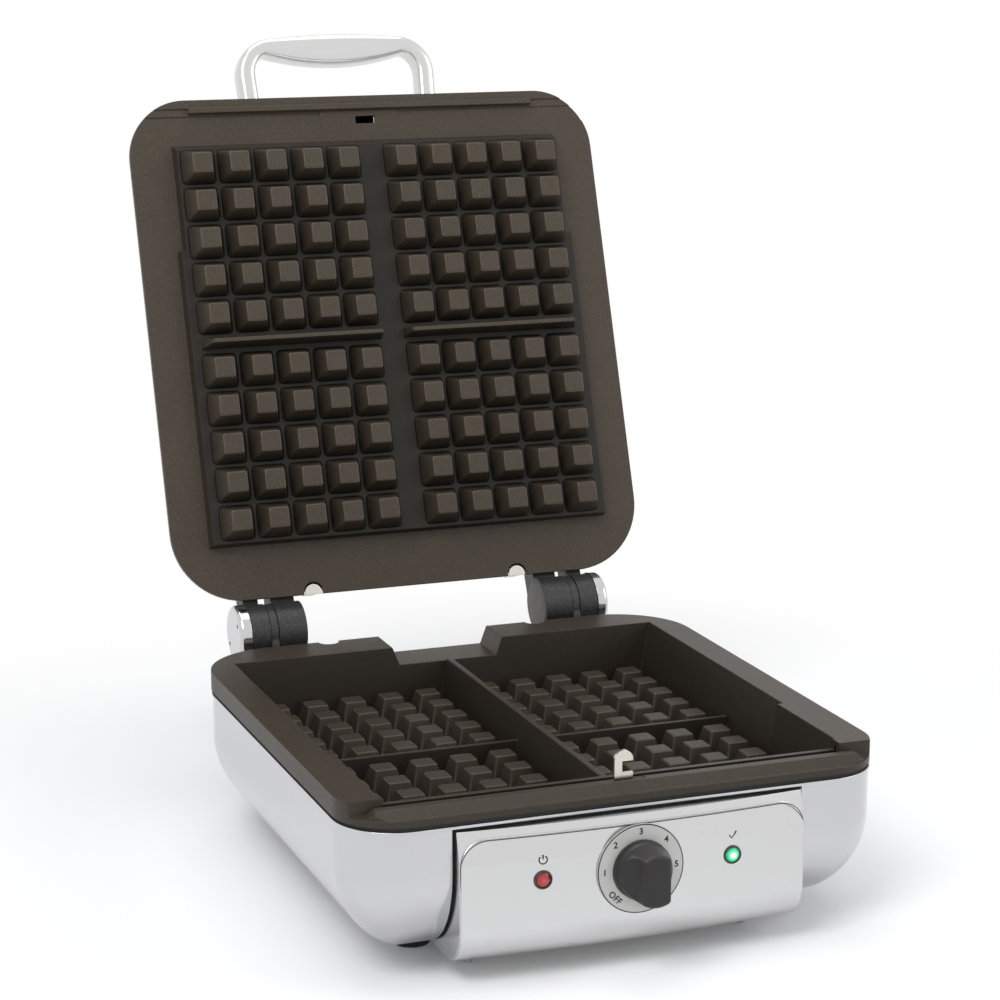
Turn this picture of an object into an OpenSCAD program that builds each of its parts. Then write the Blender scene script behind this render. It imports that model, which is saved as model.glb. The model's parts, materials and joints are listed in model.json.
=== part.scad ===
// Waffle maker that bakes four square waffles between two hinged grid plates.
// Millimetres. +X is to the right, +Y to the back and +Z up. The feet stand on z = 0.
// The lid's parts are drawn closed and turned about the hinge to where the open lid rests.

/* [Waffle grid] */
// Distance between neighbouring blocks
grid_pitch = 21.5; // [20:0.25:22.5]
// Blocks along each side of a waffle
grid_count = 5; // [4:1:5]
// Distance across the middle between the nearest block rows, left to right
grid_gap_x = 34.3; // [32:0.1:38]
// Distance across the middle between the nearest block rows, front to back
grid_gap_y = 30.7; // [29:0.1:34]
// Height of a block
block_h = 12.3; // [9:0.1:13]
// Width of a block at its top
block_top = 11.2; // [9:0.1:13]
// Width of a block at its foot
block_foot = 18; // [15:0.1:19]
// Gap between facing block tops when the lid is closed
waffle_gap = 4.3; // [3:0.1:7]

/* [Plates] */
// Thickness of the cast plates
plate_wall = 3; // [2:0.1:4]
// Height of the lower plate's floor above the table
cavity_floor_z = 56.9; // [54:0.1:59]
// Depth of the lower cavity below its side rims
cavity_depth = 34.4; // [32:0.1:36]
// Depth of the lower cavity below its front wall
front_wall_drop = 4.9; // [3:0.1:7]
// Room between the outer blocks' feet and the cavity's walls
cavity_margin = 1.9; // [1:0.1:2.4]
// How far each cavity side wall leans out
cavity_lean_x = 8.1; // [6:0.1:9]
// How far the rear cavity wall leans out
cavity_lean_y = 4.5; // [3:0.1:5]
// Width lost on each side in the front part of the cavity
cavity_jog = 3.2; // [2:0.1:3.4]
// Distance from the middle to the jog in the side walls
jog_y = 54; // [50:0.5:60]
// Height of the lower plate's outer skirt
skirt_h = 10.3; // [9:0.1:12]
// Height of the wall between left and right waffles
divider_h = 26; // [22:0.1:27]
// Height of the wall between front and rear waffles
cross_h = 13; // [11:0.1:14]
// Half width of the rear notch at its floor
notch_half = 28.5; // [24:0.5:32]
// Slope of the rear notch's ends
notch_lean = 3.9; // [0:0.1:6]
// Height of the rear notch's floor above the skirt's lower edge
notch_sill = 0.5; // [0.3:0.1:2]
// Width of the strip along the front of the lower plate
strip_w = 16; // [14:0.1:18]
// Height of the strip above the groove behind it
strip_h = 3.9; // [3:0.1:4.5]
// Depth of the upper plate's raised platform
platform_h = 7.1; // [5:0.1:9]
// Slope of the platform's sides
platform_lean = 3.9; // [2:0.1:5]
// Gap between the platform and the cavity walls around it
platform_clear = 3; // [2:0.1:4]
// How far the upper plate reaches past the body at the sides
lid_over_side = 2.2; // [1:0.1:4]
// How far the upper plate reaches past the body towards the handle
lid_over_front = 1.4; // [0:0.1:3]
// How far the upper plate reaches past the body towards the hinge
lid_over_rear = 2.9; // [1:0.1:4]
// Corner radius of the lid, towards the handle
lid_front_r = 34; // [30:0.5:38]
// Corner radius of the lid, towards the hinge
lid_rear_r = 40; // [36:0.5:44]
// Height of the raised band along the upper plate's free edge
band_h = 0.8; // [0.4:0.1:1.2]
// Height of the lip behind that band
lip_h = 3; // [2:0.1:3.6]
// Depth of the two shallow recesses behind the lip
recess_d = 0.6; // [0.3:0.1:0.7]

/* [Body] */
// Width of the rim beside the cavity
side_rim = 15.45; // [13:0.05:18]
// Width of the rim in front of the cavity
front_rim = 23.75; // [22:0.05:26]
// Width of the rim behind the cavity
rear_rim = 24.75; // [23:0.05:27]
// Thickness of the gasket between the body and the lower plate
gasket_t = 1.7; // [1:0.1:2.4]
// Gap between the body's underside and the table
ground_gap = 10.1; // [8:0.1:12]
// Radius of the body's lower edges
base_edge_r = 46; // [44:0.5:48]
// Radius of the front corners
front_corner_r = 30; // [26:0.5:36]
// Radius of the rear corners
rear_corner_r = 42; // [38:0.5:44]
// Thickness of the sheet metal
sheet = 1; // [0.8:0.1:1.2]
// Radius of a rubber foot
foot_r = 10; // [8:0.5:11]
// Distance from the front feet back to the body's rounded lower front
foot_set = 17; // [14:0.5:20]

/* [Front] */
// Half width of the front unit
fascia_half = 88.2; // [86:0.1:90]
// Gap between the body's top edge and the front unit
fascia_drop = 2.5; // [2:0.1:4]
// Height of the front unit's underside above the table
fascia_bottom_z = 10.7; // [10:0.1:12]
// How far the middle of the front unit stands out of the body
fascia_out = 10.5; // [8:0.1:13]
// Radius of the front unit's lower edge
fascia_edge_r = 19.5; // [16:0.5:22]
// How far the middle of the face stands in front of its ends
fascia_bow = 4.4; // [3:0.1:6]
// Gap between the front unit and the body
seam = 1.3; // [1:0.1:1.6]
// Wall of the front unit
fascia_wall = 2.2; // [1.8:0.1:3]
// Height of the dial's centre above the table
dial_z = 51.6; // [48:0.1:53]
// Radius of the dial plate
dial_r = 22; // [20:0.1:24]
// Radius of the knob's skirt
knob_r = 14.6; // [13:0.1:16]
// Length of the knob
knob_len = 20; // [17:0.1:23]
// Width of the knob's grip
grip_w = 14; // [12:0.1:17]
// Distance from the middle to a signal lamp
lamp_x = 48.4; // [44:0.1:52]
// Radius of a lamp's lens
lens_r = 3.9; // [3:0.1:5]

/* [Hinge] */
// Distance from the body's rear to the hinge axis
hinge_back = 21.4; // [20.5:0.1:24]
// Height of the hinge axis above the lower plate's rim
hinge_rise = 3; // [2.6:0.1:3.6]
// Angle of the lid's opening
open_angle = 109.5; // [100:0.5:112]
// Radius of a hinge knuckle
knuckle_r = 15.8; // [14.5:0.1:16]
// Distance from the middle to the inner end of a hinge
hinge_inner_x = 71.5; // [66:0.5:73]
// Length of a hinge's inner knuckle
knuckle_len = 16; // [14:0.1:18]
// Thickness of a hinge bracket
bracket_t = 4.2; // [4:0.1:5.5]
// Length of a hinge's outer knuckle
outer_len = 11; // [9:0.1:12]
// Length of a hinge cap
cap_len = 6.4; // [5:0.1:9]
// Gap between the turning and the fixed hinge parts
hinge_gap = 0.4; // [0.3:0.05:0.6]
// Radius of a hinge pin
pin_r = 4; // [3:0.1:5]
// Radial clearance of a pin in its bracket
pin_fit = 0.05; // [0.02:0.01:0.08]

/* [Lid] */
// Height of the lid's cover above the upper plate
cover_h = 44; // [40:0.5:48]
// Radius of the cover's edges
cover_edge_r = 38; // [34:0.5:39]
// Distance from the upper plate's free edge to the handle's grip
handle_out = 42.6; // [38:0.1:48]
// Half distance between the handle's arms
handle_half = 55.5; // [50:0.5:60]
// Height of the handle's middle above the upper plate
handle_lift = 41; // [36:0.5:42]
// Width of a handle arm
arm_w = 10.8; // [9:0.1:12]
// Thickness of the handle, top to bottom
handle_t = 15; // [12:0.5:17]
// Width of the grip at its middle
belly_w = 18; // [14:0.5:20]

/* [Lid catch] */
// Distance from the lower plate's front edge back to the hook
hook_set = 12.5; // [12:0.1:13]
// Distance from the middle to the hook's left edge
hook_left = 3.6; // [2:0.1:5]
// Width of the hook
hook_w = 9.6; // [9:0.1:10.4]
// Thickness of the hook
hook_t = 1.8; // [1.2:0.1:2.2]
// Length of the slot in the upper plate
slot_l = 12; // [11.8:0.1:13]
// Width of the slot in the upper plate
slot_w = 4.4; // [3.6:0.1:4.8]
// Travel of the catch
catch_travel = 6; // [5:0.1:6.4]

/* [Inside] */
// Radius of a heating tube
heater_r = 3.3; // [3:0.1:4]
// Radius of the corners of a heating loop
heater_bend = 18; // [14:0.5:24]
// Distance from the middle to the cord inlet
inlet_x = 40; // [30:0.5:50]
// Height of the cord inlet above the table
inlet_z = 66; // [64:0.5:68]
// Radius of the cord inlet's bore
inlet_r = 3.6; // [3:0.1:4]

/* [Hidden] */
$fn = 96;
eps = 0.01;
joint_gap = 0.3;               // air between parts of bodies that move past each other
far = 400;                     // longer than the whole appliance

last = grid_count - 1;
col_x = [for (s = [-1, 1]) for (i = [0:last]) s * (grid_gap_x / 2 + i * grid_pitch)];
row_y = [for (s = [-1, 1]) for (i = [0:last]) s * (grid_gap_y / 2 + i * grid_pitch)];
foot_half_x = grid_gap_x / 2 + last * grid_pitch + block_foot / 2;
foot_half_y = grid_gap_y / 2 + last * grid_pitch + block_foot / 2;
cav_half = foot_half_x + cavity_margin;
cav_rear = foot_half_y + cavity_margin;
rim_z = cavity_floor_z + cavity_depth;
skirt_z = rim_z - skirt_h;
ridge_z = rim_z - front_wall_drop;
groove_z = ridge_z - 2.1;
body_half = cav_half + cavity_lean_x + side_rim;
body_front = cav_rear + cavity_lean_y + front_rim;
body_rear = cav_rear + cavity_lean_y + rear_rim;
body_top_z = skirt_z - gasket_t;
plate_half = body_half + 0.7;
plate_front = body_front - 0.2;
plate_rear = body_rear + 0.4;
strip_y = plate_front - strip_w;
strip_half = plate_half - 11;
lid_half = body_half + lid_over_side;
lid_front = body_front + lid_over_front;
lid_rear = body_rear + lid_over_rear;
hinge_y = body_rear + hinge_back;
hinge_z = rim_z + hinge_rise;
fascia_front = body_front + fascia_out;
fascia_top_z = body_top_z - fascia_drop;
handle_reach = lid_front + handle_out;
notch_side = 8;                // solid metal past each end of the rear notch
notch_low_z = body_top_z + 0.2;
notch_back = plate_rear - plate_wall;

block_top_z = cavity_floor_z + block_h;
lid_tops_z = block_top_z + waffle_gap;
platform_z = lid_tops_z + block_h;
flange_z = platform_z + platform_h;
flange_top_z = flange_z + plate_wall;
lean_at_platform = (platform_z - cavity_floor_z) / cavity_depth;
plat_half = cav_half + cavity_lean_x * lean_at_platform - platform_clear;
plat_rear = cav_rear + cavity_lean_y * lean_at_platform - platform_clear;
plat_front = foot_half_y + 1.5;

window_half = fascia_half + seam;
under_y = body_front - base_edge_r + 4; // where the front unit ends under the body
bracket_slot_z = ground_gap + base_edge_r + 1.9;
bracket_room = 0.3;            // around a bracket in its slot
clip_x = 61.3;
clip_r = 4.8;
clip_t = 1.2;
clip_in = 1;                   // from the upper plate's edge to a clip's centre
strap_half = 3;
strap_len = 14;
under_half = body_half - base_edge_r;    // half width of the flat underside
under_front = body_front - base_edge_r;
under_rear = body_rear - base_edge_r;
feet = [for (s = [-1, 1]) [s * (under_half - 3.1), foot_set - under_front],
  for (s = [-1, 1]) [s * (under_half - 4), under_rear + 12.5]];
foot_bore = 2.4;
screw_r = 2;
pan_t = 2;
pan_lap = 4;                   // width of the pan that lies on the housing
pan_half = under_half - 3.1 - foot_r - 0.5;
pan_z = ground_gap + sheet;
cover_top_z = flange_top_z + cover_h;
cover_half = lid_half - 2.6;
cover_front = lid_front - 2.6;
cover_rear = lid_rear - 2;
handle_z = flange_top_z + handle_lift;
bolt_z = handle_z - 5;
bolt_in = 24;                  // from the cover's front to the heads of the handle's screws
bolt_len = 30;

reflector_half = body_half - 10;
reflector_front = cav_rear + 7;
reflector_rear = body_rear - 10;
reflector_t = 0.8;
loop_x = cav_half - 28;
loop_y = cav_rear - 28;
lead_x = 14;
heater_low_z = cavity_floor_z - plate_wall - 2 * heater_r;
hook_x = -hook_left;
hook_y = plate_front - hook_set;
hook_top_z = flange_top_z + 6.3;
slot_x = hook_x + hook_w / 2;
catch_t = 1.2;
catch_z = flange_z + 1.7;
catch_x = hook_x + hook_w + 0.7;         // the catch's tip when the lid is free
catch_len = 24;
catch_half = 5;
catch_room = 0.4;
tab_x = catch_x + 9.3;
tab_half = 6;
tab_t = 1.5;
bushing_r = 5;
shaft_r = 3;
bezel_r = lens_r + 0.5;
hole_ease = 0.1;               // radial clearance of small parts in sheet metal
stud_x = 72;
stud_y = under_front + 18;
stud_r = 2;
panel_corner = 13;
panel_half = fascia_half - 0.5;

bracket_x = hinge_inner_x + knuckle_len + hinge_gap;
outer_x = bracket_x + bracket_t + hinge_gap;
cap_x = outer_x + outer_len;

// The origin is under the middle of the box around the open part.
grip_round = 5;
grip_back = [handle_reach + arm_w / 2, handle_z + handle_t / 2];
open_cos = cos(open_angle);
open_sin = sin(open_angle);
back_y = hinge_y - (grip_back[0] + hinge_y - grip_round) * open_cos
  + (grip_back[1] - hinge_z - grip_round) * open_sin + grip_round;
bow_r = (fascia_half * fascia_half + fascia_bow * fascia_bow) / (2 * fascia_bow);
panel_t = 0.8;
dial_t = 0.9;
knob_back = fascia_front + panel_t + dial_t + 0.5;
knob_tip = knob_back + knob_len;
mid_y = (back_y - knob_tip) / 2;

// ---- shared shapes ----

// Puts a part from the grid's centre to the origin.
module home() {
  translate([0, -mid_y, 0]) children();
}

// Turns a part of the closed lid to its open rest.
module on_lid() {
  translate([0, hinge_y - mid_y, hinge_z]) rotate([-open_angle, 0, 0])
    translate([0, -hinge_y, -hinge_z]) children();
}

// Outline with one radius at the front corners and another at the rear ones.
module outline(half, front, rear, rf, rr) {
  polygon([[-half + rf, -front], [half - rf, -front], [half, -front + rf], [half, rear - rr],
    [half - rr, rear], [-half + rr, rear], [-half, rear - rr], [-half, -front + rf]]);
  for (s = [-1, 1]) {
    translate([s * (half - rf), -front + rf]) circle(r = rf);
    translate([s * (half - rr), rear - rr]) circle(r = rr);
  }
}

// Plain rounded rectangle centred on the axis.
module rounded(w, d, r) {
  square([w - 2 * r, d], center = true);
  square([w, d - 2 * r], center = true);
  for (x = [-1, 1], y = [-1, 1]) translate([x * (w / 2 - r), y * (d / 2 - r)]) circle(r = r);
}

// Extrudes a drawing of X and Z along Y, from y0 to y1.
module along_y(y0, y1) {
  translate([0, y1, 0]) rotate([90, 0, 0]) linear_extrude(y1 - y0) children();
}

// Extrudes a drawing of Y and Z along X, from x0 to x1.
module along_x(x0, x1) {
  translate([x0, 0, 0]) rotate([90, 0, 90]) linear_extrude(x1 - x0) children();
}

// Section with a straight wall above and a round lower edge at both ends.
module tub_section(a, b, r, z0, z1) {
  translate([a, z0 + r]) square([b - a, z1 - z0 - r]);
  translate([a + r, z0]) square([b - a - 2 * r, z1 - z0]);
  for (c = [a + r, b - r]) intersection() {
    translate([c, z0 + r]) circle(r = r);
    translate([a, z0]) square([b - a, z1 - z0]);
  }
}

// One corner of a tub, whose upright radius may be smaller than its lower edge's.
module tub_corner(rv, r, z0, z1) {
  rotate_extrude() intersection() {
    translate([0, z0]) square([rv, z1 - z0]);
    union() {
      translate([rv - r, z0 + r]) circle(r = r);
      translate([-far, z0 + r]) square([far + rv, z1 - z0 - r]);
      translate([-far, z0]) square([far + max(rv - r, 0), z1 - z0]);
    }
  }
}

// Solid tub with rounded lower edges, g larger on every side.
module tub(half, front, rear, rf, rr, r, z0, z1, g) {
  h = half + g;
  f = front + g;
  b = rear + g;
  e = r + g;
  cf = rf + g;
  cr = rr + g;
  intersection() {
    along_y(-f + cf, b - cr) tub_section(-h, h, e, z0 - g, z1);
    along_x(-h, h) tub_section(-f, b, e, z0 - g, z1);
  }
  intersection() {
    along_x(-h + cr, h - cr) tub_section(-f, b, e, z0 - g, z1);
    along_y(0, b) tub_section(-h, h, e, z0 - g, z1);
  }
  intersection() {
    along_x(-h + cf, h - cf) tub_section(-f, b, e, z0 - g, z1);
    along_y(-f, 0) tub_section(-h, h, e, z0 - g, z1);
  }
  for (s = [-1, 1]) {
    translate([s * (h - cf), -f + cf, 0]) tub_corner(cf, e, z0 - g, z1);
    translate([s * (h - cr), b - cr, 0]) tub_corner(cr, e, z0 - g, z1);
  }
}

// Row of blocks seen from the side, standing on a floor of the plate's thickness.
module comb(places, half) {
  translate([-half, -plate_wall]) square([2 * half, plate_wall]);
  for (p = places) polygon([[p - block_foot / 2, -eps], [p + block_foot / 2, -eps],
    [p + block_top / 2, block_h], [p - block_top / 2, block_h]]);
}

// Every block of one plate, rising from z = 0.
module blocks(half_x, half_y) {
  intersection() {
    along_y(-half_y, half_y) comb(col_x, half_x);
    along_x(-half_x, half_x) comb(row_y, half_y);
  }
}

// Wall whose top is narrower than its foot, as a drawing.
module ridge(foot, top, h) {
  polygon([[-foot / 2, -eps], [foot / 2, -eps], [top / 2, h], [-top / 2, h]]);
}

// Closed heating loop with its two ends bent to the rear, on z = 0.
module heating_loop(hx, hy, lead_x, lead_y) {
  b = heater_bend;
  for (s = [-1, 1]) {
    translate([s * hx, -hy + b, 0]) rotate([-90, 0, 0]) cylinder(r = heater_r, h = 2 * hy - 2 * b);
    translate([s * (hx - b), -hy + b, 0]) rotate([0, 0, s > 0 ? -90 : 180]) bend(b);
    translate([s * (hx - b), hy - b, 0]) rotate([0, 0, s > 0 ? 0 : 90]) bend(b);
    translate([s > 0 ? lead_x + b : -hx + b, hy, 0]) rotate([0, 90, 0])
      cylinder(r = heater_r, h = hx - lead_x - 2 * b);
    translate([s * (lead_x + b), hy + b, 0]) rotate([0, 0, s > 0 ? 180 : -90]) bend(b);
    translate([s * lead_x, hy + b, 0]) rotate([-90, 0, 0]) cylinder(r = heater_r, h = lead_y - hy - b);
  }
  translate([-hx + b, -hy, 0]) rotate([0, 90, 0]) cylinder(r = heater_r, h = 2 * hx - 2 * b);
}

// Quarter bend of the heating tube.
module bend(r) {
  rotate_extrude(angle = 90) translate([r, 0]) circle(r = heater_r);
}

// Screw with a low round head on z = 0 and its shank below.
module screw(r, len) {
  cylinder(r = 2 * r, h = 0.7 * r);
  translate([0, 0, -len]) cylinder(r = r, h = len + eps);
}

// ---- base ----

// Room inside the lower plate, or with grow the metal around it, up to extra above the rims.
module cavity(grow, extra) {
  slope_x = cavity_lean_x * (1 + extra / cavity_depth);
  slope_y = cavity_lean_y * (1 + extra / cavity_depth);
  top = cavity_depth + extra;
  low_x = cav_half + grow;
  low_y = cav_rear + grow;
  translate([0, 0, cavity_floor_z]) intersection() {
    union() {
      along_y(-low_y - slope_y, -jog_y) polygon([[-low_x, -grow], [low_x, -grow],
        [low_x + slope_x - cavity_jog, top], [-low_x - slope_x + cavity_jog, top]]);
      along_y(-jog_y, low_y + slope_y) polygon([[-low_x, -grow], [low_x, -grow],
        [low_x + slope_x, top], [-low_x - slope_x, top]]);
    }
    along_x(-far, far) polygon([[-low_y, -grow], [low_y, -grow],
      [low_y + slope_y, top], [-low_y - slope_y, top]]);
  }
}

module lower_plate() {
  home() color([0.24, 0.22, 0.20]) {
    difference() {
      union() {
        plate_skirt();
        cavity(plate_wall, 0);
        // Solid metal around the rear notch.
        translate([-notch_half - notch_side, cav_rear, notch_low_z])
          cube([2 * (notch_half + notch_side), notch_back - cav_rear, rim_z - notch_low_z - 0.5]);
      }
      cavity(0, 1);
      rear_notch();
      front_step();
      for (s = [-1, 1]) translate([s * clip_x, plate_rear, skirt_z - 1])
        cylinder(r = clip_r + 1, h = skirt_h + 2);
    }
    front_strip();
    translate([0, 0, cavity_floor_z]) {
      blocks(cav_half + 1, cav_rear + 1);
      along_y(-cav_rear - 1.5, cav_rear + 2) ridge(11, 3, divider_h);
      along_x(-cav_half - 2, cav_half + 2) ridge(5.5, 2.2, cross_h);
    }
  }
}

// Rim of the lower plate with its outer skirt, hollow below.
module plate_skirt() {
  w = plate_wall;
  difference() {
    translate([0, 0, skirt_z]) linear_extrude(skirt_h)
      outline(plate_half, plate_front, plate_rear, front_corner_r, rear_corner_r);
    intersection() {
      translate([0, 0, skirt_z - eps]) linear_extrude(skirt_h - w)
        outline(plate_half - w, plate_front, plate_rear - w, front_corner_r - w, rear_corner_r - w);
      translate([-far, -strip_y + w, 0]) cube([2 * far, far, far]);
    }
  }
}

// Opening of the lower plate's rear wall, with sloping ends.
module rear_notch() {
  high = 1.2 * skirt_h;
  top = notch_half + 1.2 * notch_lean;
  translate([0, 0, skirt_z + notch_sill]) along_y(cav_rear, plate_rear + 1)
    polygon([[-notch_half, 0], [notch_half, 0], [top, high], [-top, high]]);
}

// What the lower plate's front is short of: a low wall top, a groove and room for the strip.
module front_step() {
  high = ridge_z + 20;
  wall_top = cav_rear + cavity_lean_y + 3.2;
  half = cav_half + cavity_lean_x - cavity_jog - 1;
  along_x(-far, far) polygon([[-strip_y, high], [-strip_y, rim_z - 0.8], [-strip_y - 1, groove_z],
    [-far, groove_z], [-far, high]]);
  along_x(-half, half) polygon([[-wall_top, ridge_z], [-strip_y - 2, groove_z], [-far, groove_z],
    [-far, high], [-cav_rear + 10, high], [-cav_rear + 10, ridge_z]]);
}

// Strip along the lower plate's front, with sloping ends and room for the hook.
module front_strip() {
  top = groove_z + strip_h;
  face = plate_front - 0.6;
  difference() {
    intersection() {
      along_x(-plate_half + 8, plate_half - 8) polygon([[-strip_y - 0.5, groove_z - 1], [-strip_y - 3.5, top],
        [-strip_y - 8.2, top], [-face, skirt_z + 1.5], [-face, skirt_z]]);
      along_y(-far, 0) polygon([[-strip_half, skirt_z - 1], [strip_half, skirt_z - 1], [strip_half, groove_z],
        [strip_half - 5, top + 1], [-strip_half + 5, top + 1], [-strip_half, groove_z]]);
      translate([0, 0, skirt_z - 1]) linear_extrude(far)
        outline(plate_half - 0.6, face, plate_rear, front_corner_r, rear_corner_r);
    }
    along_y(-hook_y - hook_t - 1.2, 0) polygon([[hook_x - 2, groove_z], [hook_x + hook_w + 2, groove_z],
      [hook_x + hook_w + 8, top + 2], [hook_x - 8, top + 2]]);
  }
}

module lower_clips() {
  low = body_top_z - strap_len;
  high = skirt_z + 4;
  home() color([0.78, 0.76, 0.72]) for (s = [-1, 1]) translate([s * clip_x, plate_rear, 0]) {
    translate([0, 0, high]) cylinder(r = clip_r, h = clip_t);
    translate([-strap_half, 0, low]) cube([2 * strap_half, clip_t, high - low + eps]);
  }
}

// Opening in the body's front for the front unit.
module body_window() {
  translate([-window_half, -far, -1]) cube([2 * window_half, far - under_y, fascia_top_z + seam + 1]);
}

module base_housing() {
  slot_half = bracket_t / 2 + bracket_room;
  home() color([0.80, 0.81, 0.83]) {
    difference() {
      body_form(0, 0);
      body_form(-sheet, sheet);
      translate([0, 0, body_top_z - 2]) linear_extrude(4)
        outline(body_half - 9, body_front - 9, body_rear - 9, front_corner_r - 9, rear_corner_r - 9);
      translate([0, 0, -1]) linear_extrude(pan_z + 2)
        outline(pan_half - pan_lap, under_front - pan_lap - 2, under_rear - pan_lap - 2, 8, 8);
      body_window();
      for (s = [-1, 1])
        translate([s * (bracket_x + bracket_t / 2) - slot_half, body_rear - 3, bracket_slot_z])
          cube([2 * slot_half, 6, far]);
      translate([-inlet_x, body_rear - 6, inlet_z]) rotate([-90, 0, 0]) cylinder(r = inlet_r + 4.1, h = 12);
      for (f = feet) translate(f) cylinder(r = foot_bore, h = 40);
    }
    rolled_lip(slot_half);
  }
}

// Rolled lip around the body's top edge.
module rolled_lip(slot_half) {
  lip = 1.3;
  out = 0.7;
  back = 0.4;
  translate([0, 0, body_top_z - lip]) linear_extrude(lip) difference() {
    outline(body_half + out, body_front + out, body_rear + back, front_corner_r + out, rear_corner_r + back);
    outline(body_half - 1.5, body_front - 1.5, body_rear - 4.2, front_corner_r - 1.5, rear_corner_r - 1.5);
    for (s = [-1, 1]) translate([s * (bracket_x + bracket_t / 2) - slot_half, body_rear - 10])
      square([2 * slot_half, 20]);
  }
}

// The body as a solid, g larger, with its top edge lowered by drop.
module body_form(g, drop) {
  tub(body_half, body_front, body_rear, front_corner_r, rear_corner_r, base_edge_r, ground_gap,
    body_top_z - drop, g);
}

module base_pan() {
  rib = 2;
  slot_pitch = 11;
  home() color([0.10, 0.10, 0.11]) difference() {
    union() {
      translate([0, 0, pan_z]) linear_extrude(pan_t)
        outline(pan_half, under_front - 2, under_rear - 2, 10, 10);
      for (x = [-45, 0, 45]) translate([x - rib / 2, 12 - under_front, pan_z])
        cube([rib, under_front + under_rear - 42, 8]);
    }
    for (x = [-60, -22, 22, 60], i = [-5:3]) translate([x, i * slot_pitch, pan_z - 1])
      linear_extrude(pan_t + 2) rounded(26, 4, 1.9);
  }
}

module rubber_feet() {
  taper = 3;
  home() color([0.06, 0.06, 0.07]) difference() {
    for (f = feet) translate(f) difference() {
      union() {
        cylinder(r1 = foot_r - 1, r2 = foot_r, h = taper);
        translate([0, 0, taper - eps]) cylinder(r = foot_r, h = ground_gap + 6);
      }
      translate([0, 0, -1]) cylinder(r = 2 * screw_r + 0.6, h = taper + 1);
      cylinder(r = screw_r + 0.05, h = 40);
    }
    body_form(0.05, 0);
  }
}

module base_screws() {
  home() color([0.6, 0.6, 0.62]) for (f = feet)
    translate([f[0], f[1], 3]) mirror([0, 0, 1]) screw(screw_r, 16);
}

module rim_gasket() {
  notch = notch_half + notch_side + 0.3;
  home() color([0.05, 0.05, 0.05]) translate([0, 0, body_top_z]) linear_extrude(gasket_t) difference() {
    outline(body_half - 1, body_front - 1, body_rear - 1, front_corner_r - 1, rear_corner_r - 1);
    outline(body_half - 7, body_front - 7, body_rear - 7, front_corner_r - 7, rear_corner_r - 7);
    translate([-notch, cav_rear]) square([2 * notch, notch_back - cav_rear + 0.3]);
  }
}

module lower_reflector() {
  t = reflector_t;
  z = heater_low_z - 5.5;
  home() color([0.72, 0.73, 0.75]) {
    difference() {
      translate([0, 0, z]) linear_extrude(body_top_z - sheet - z)
        outline(reflector_half, reflector_front, reflector_rear, 6, 24);
      translate([0, 0, z + t]) linear_extrude(far)
        outline(reflector_half - t, reflector_front - t, reflector_rear - t, 6 - t, 24 - t);
    }
    // Posts under the heating tube.
    for (x = [-1, 1], y = [-loop_y, loop_y])
      translate([x * (loop_x - heater_bend - 8) - 4, y - 2, z + t - 0.1])
        cube([8, 4, heater_low_z - z - t + 0.1]);
  }
}

module lower_heater() {
  home() color([0.35, 0.34, 0.33]) translate([0, 0, heater_low_z + heater_r])
    heating_loop(loop_x, loop_y, lead_x, reflector_rear - 7);
}

module latch_hook() {
  r = hook_w / 2;
  throat_x = catch_x - catch_travel - joint_gap;
  home() color([0.80, 0.79, 0.75]) along_y(-hook_y - hook_t / 2, -hook_y + hook_t / 2) difference() {
    union() {
      translate([hook_x, groove_z]) square([hook_w, hook_top_z - groove_z - r]);
      translate([hook_x + r, hook_top_z - r]) circle(r = r);
    }
    translate([throat_x, catch_z - 3.4]) square([hook_w, catch_t + 4.4]);
  }
}

// ---- front unit ----

// Section of the front unit, from its round's centre outwards, g larger.
module fascia_section(g) {
  e = fascia_edge_r + g;
  r = bow_r + g;
  z0 = fascia_bottom_z - g;
  back = bow_r - (fascia_front - under_y - seam) - 1;
  difference() {
    polygon([[back, fascia_top_z], [r - 4.3, fascia_top_z], [r, fascia_top_z - 15], [r, z0], [back, z0]]);
    difference() {
      translate([r - e, z0 - 1]) square([e + 1, e + 1]);
      translate([r - e, z0 + e]) circle(r = e);
    }
  }
}

// Turns a section of the front unit along its bowed face.
module bowed() {
  translate([0, bow_r - fascia_front, 0]) rotate([0, 0, -98])
    rotate_extrude(angle = 16, $fn = 1440) children();
}

// Cuts the holes of the dial's bushing and the lamps.
module front_holes() {
  translate([0, 0, dial_z]) rotate([90, 0, 0]) cylinder(r = bushing_r + hole_ease, h = far);
  for (s = [-1, 1]) translate([s * lamp_x, 0, dial_z]) rotate([90, 0, 0])
    cylinder(r = bezel_r + hole_ease, h = far);
}

module front_fascia() {
  w = fascia_wall;
  home() color([0.83, 0.84, 0.86]) difference() {
    intersection() {
      bowed() fascia_section(0);
      translate([-fascia_half, -far, 0]) cube([2 * fascia_half, far - under_y - seam, far]);
    }
    intersection() {
      bowed() translate([-w, 0]) intersection() {
        fascia_section(0);
        translate([0, fascia_bottom_z + w]) square([2 * bow_r, fascia_top_z - fascia_bottom_z - 2 * w]);
      }
      translate([w - fascia_half, -far, 0]) cube([2 * (fascia_half - w), far, far]);
    }
    body_form(-7, 0);
    translate([-far, -under_y - seam - 1, fascia_bottom_z + w]) cube([2 * far, far, far]);
    front_holes();
    for (s = [-1, 1]) translate([s * stud_x, -stud_y, 0]) cylinder(r = stud_r + hole_ease, h = 30);
  }
}

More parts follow.
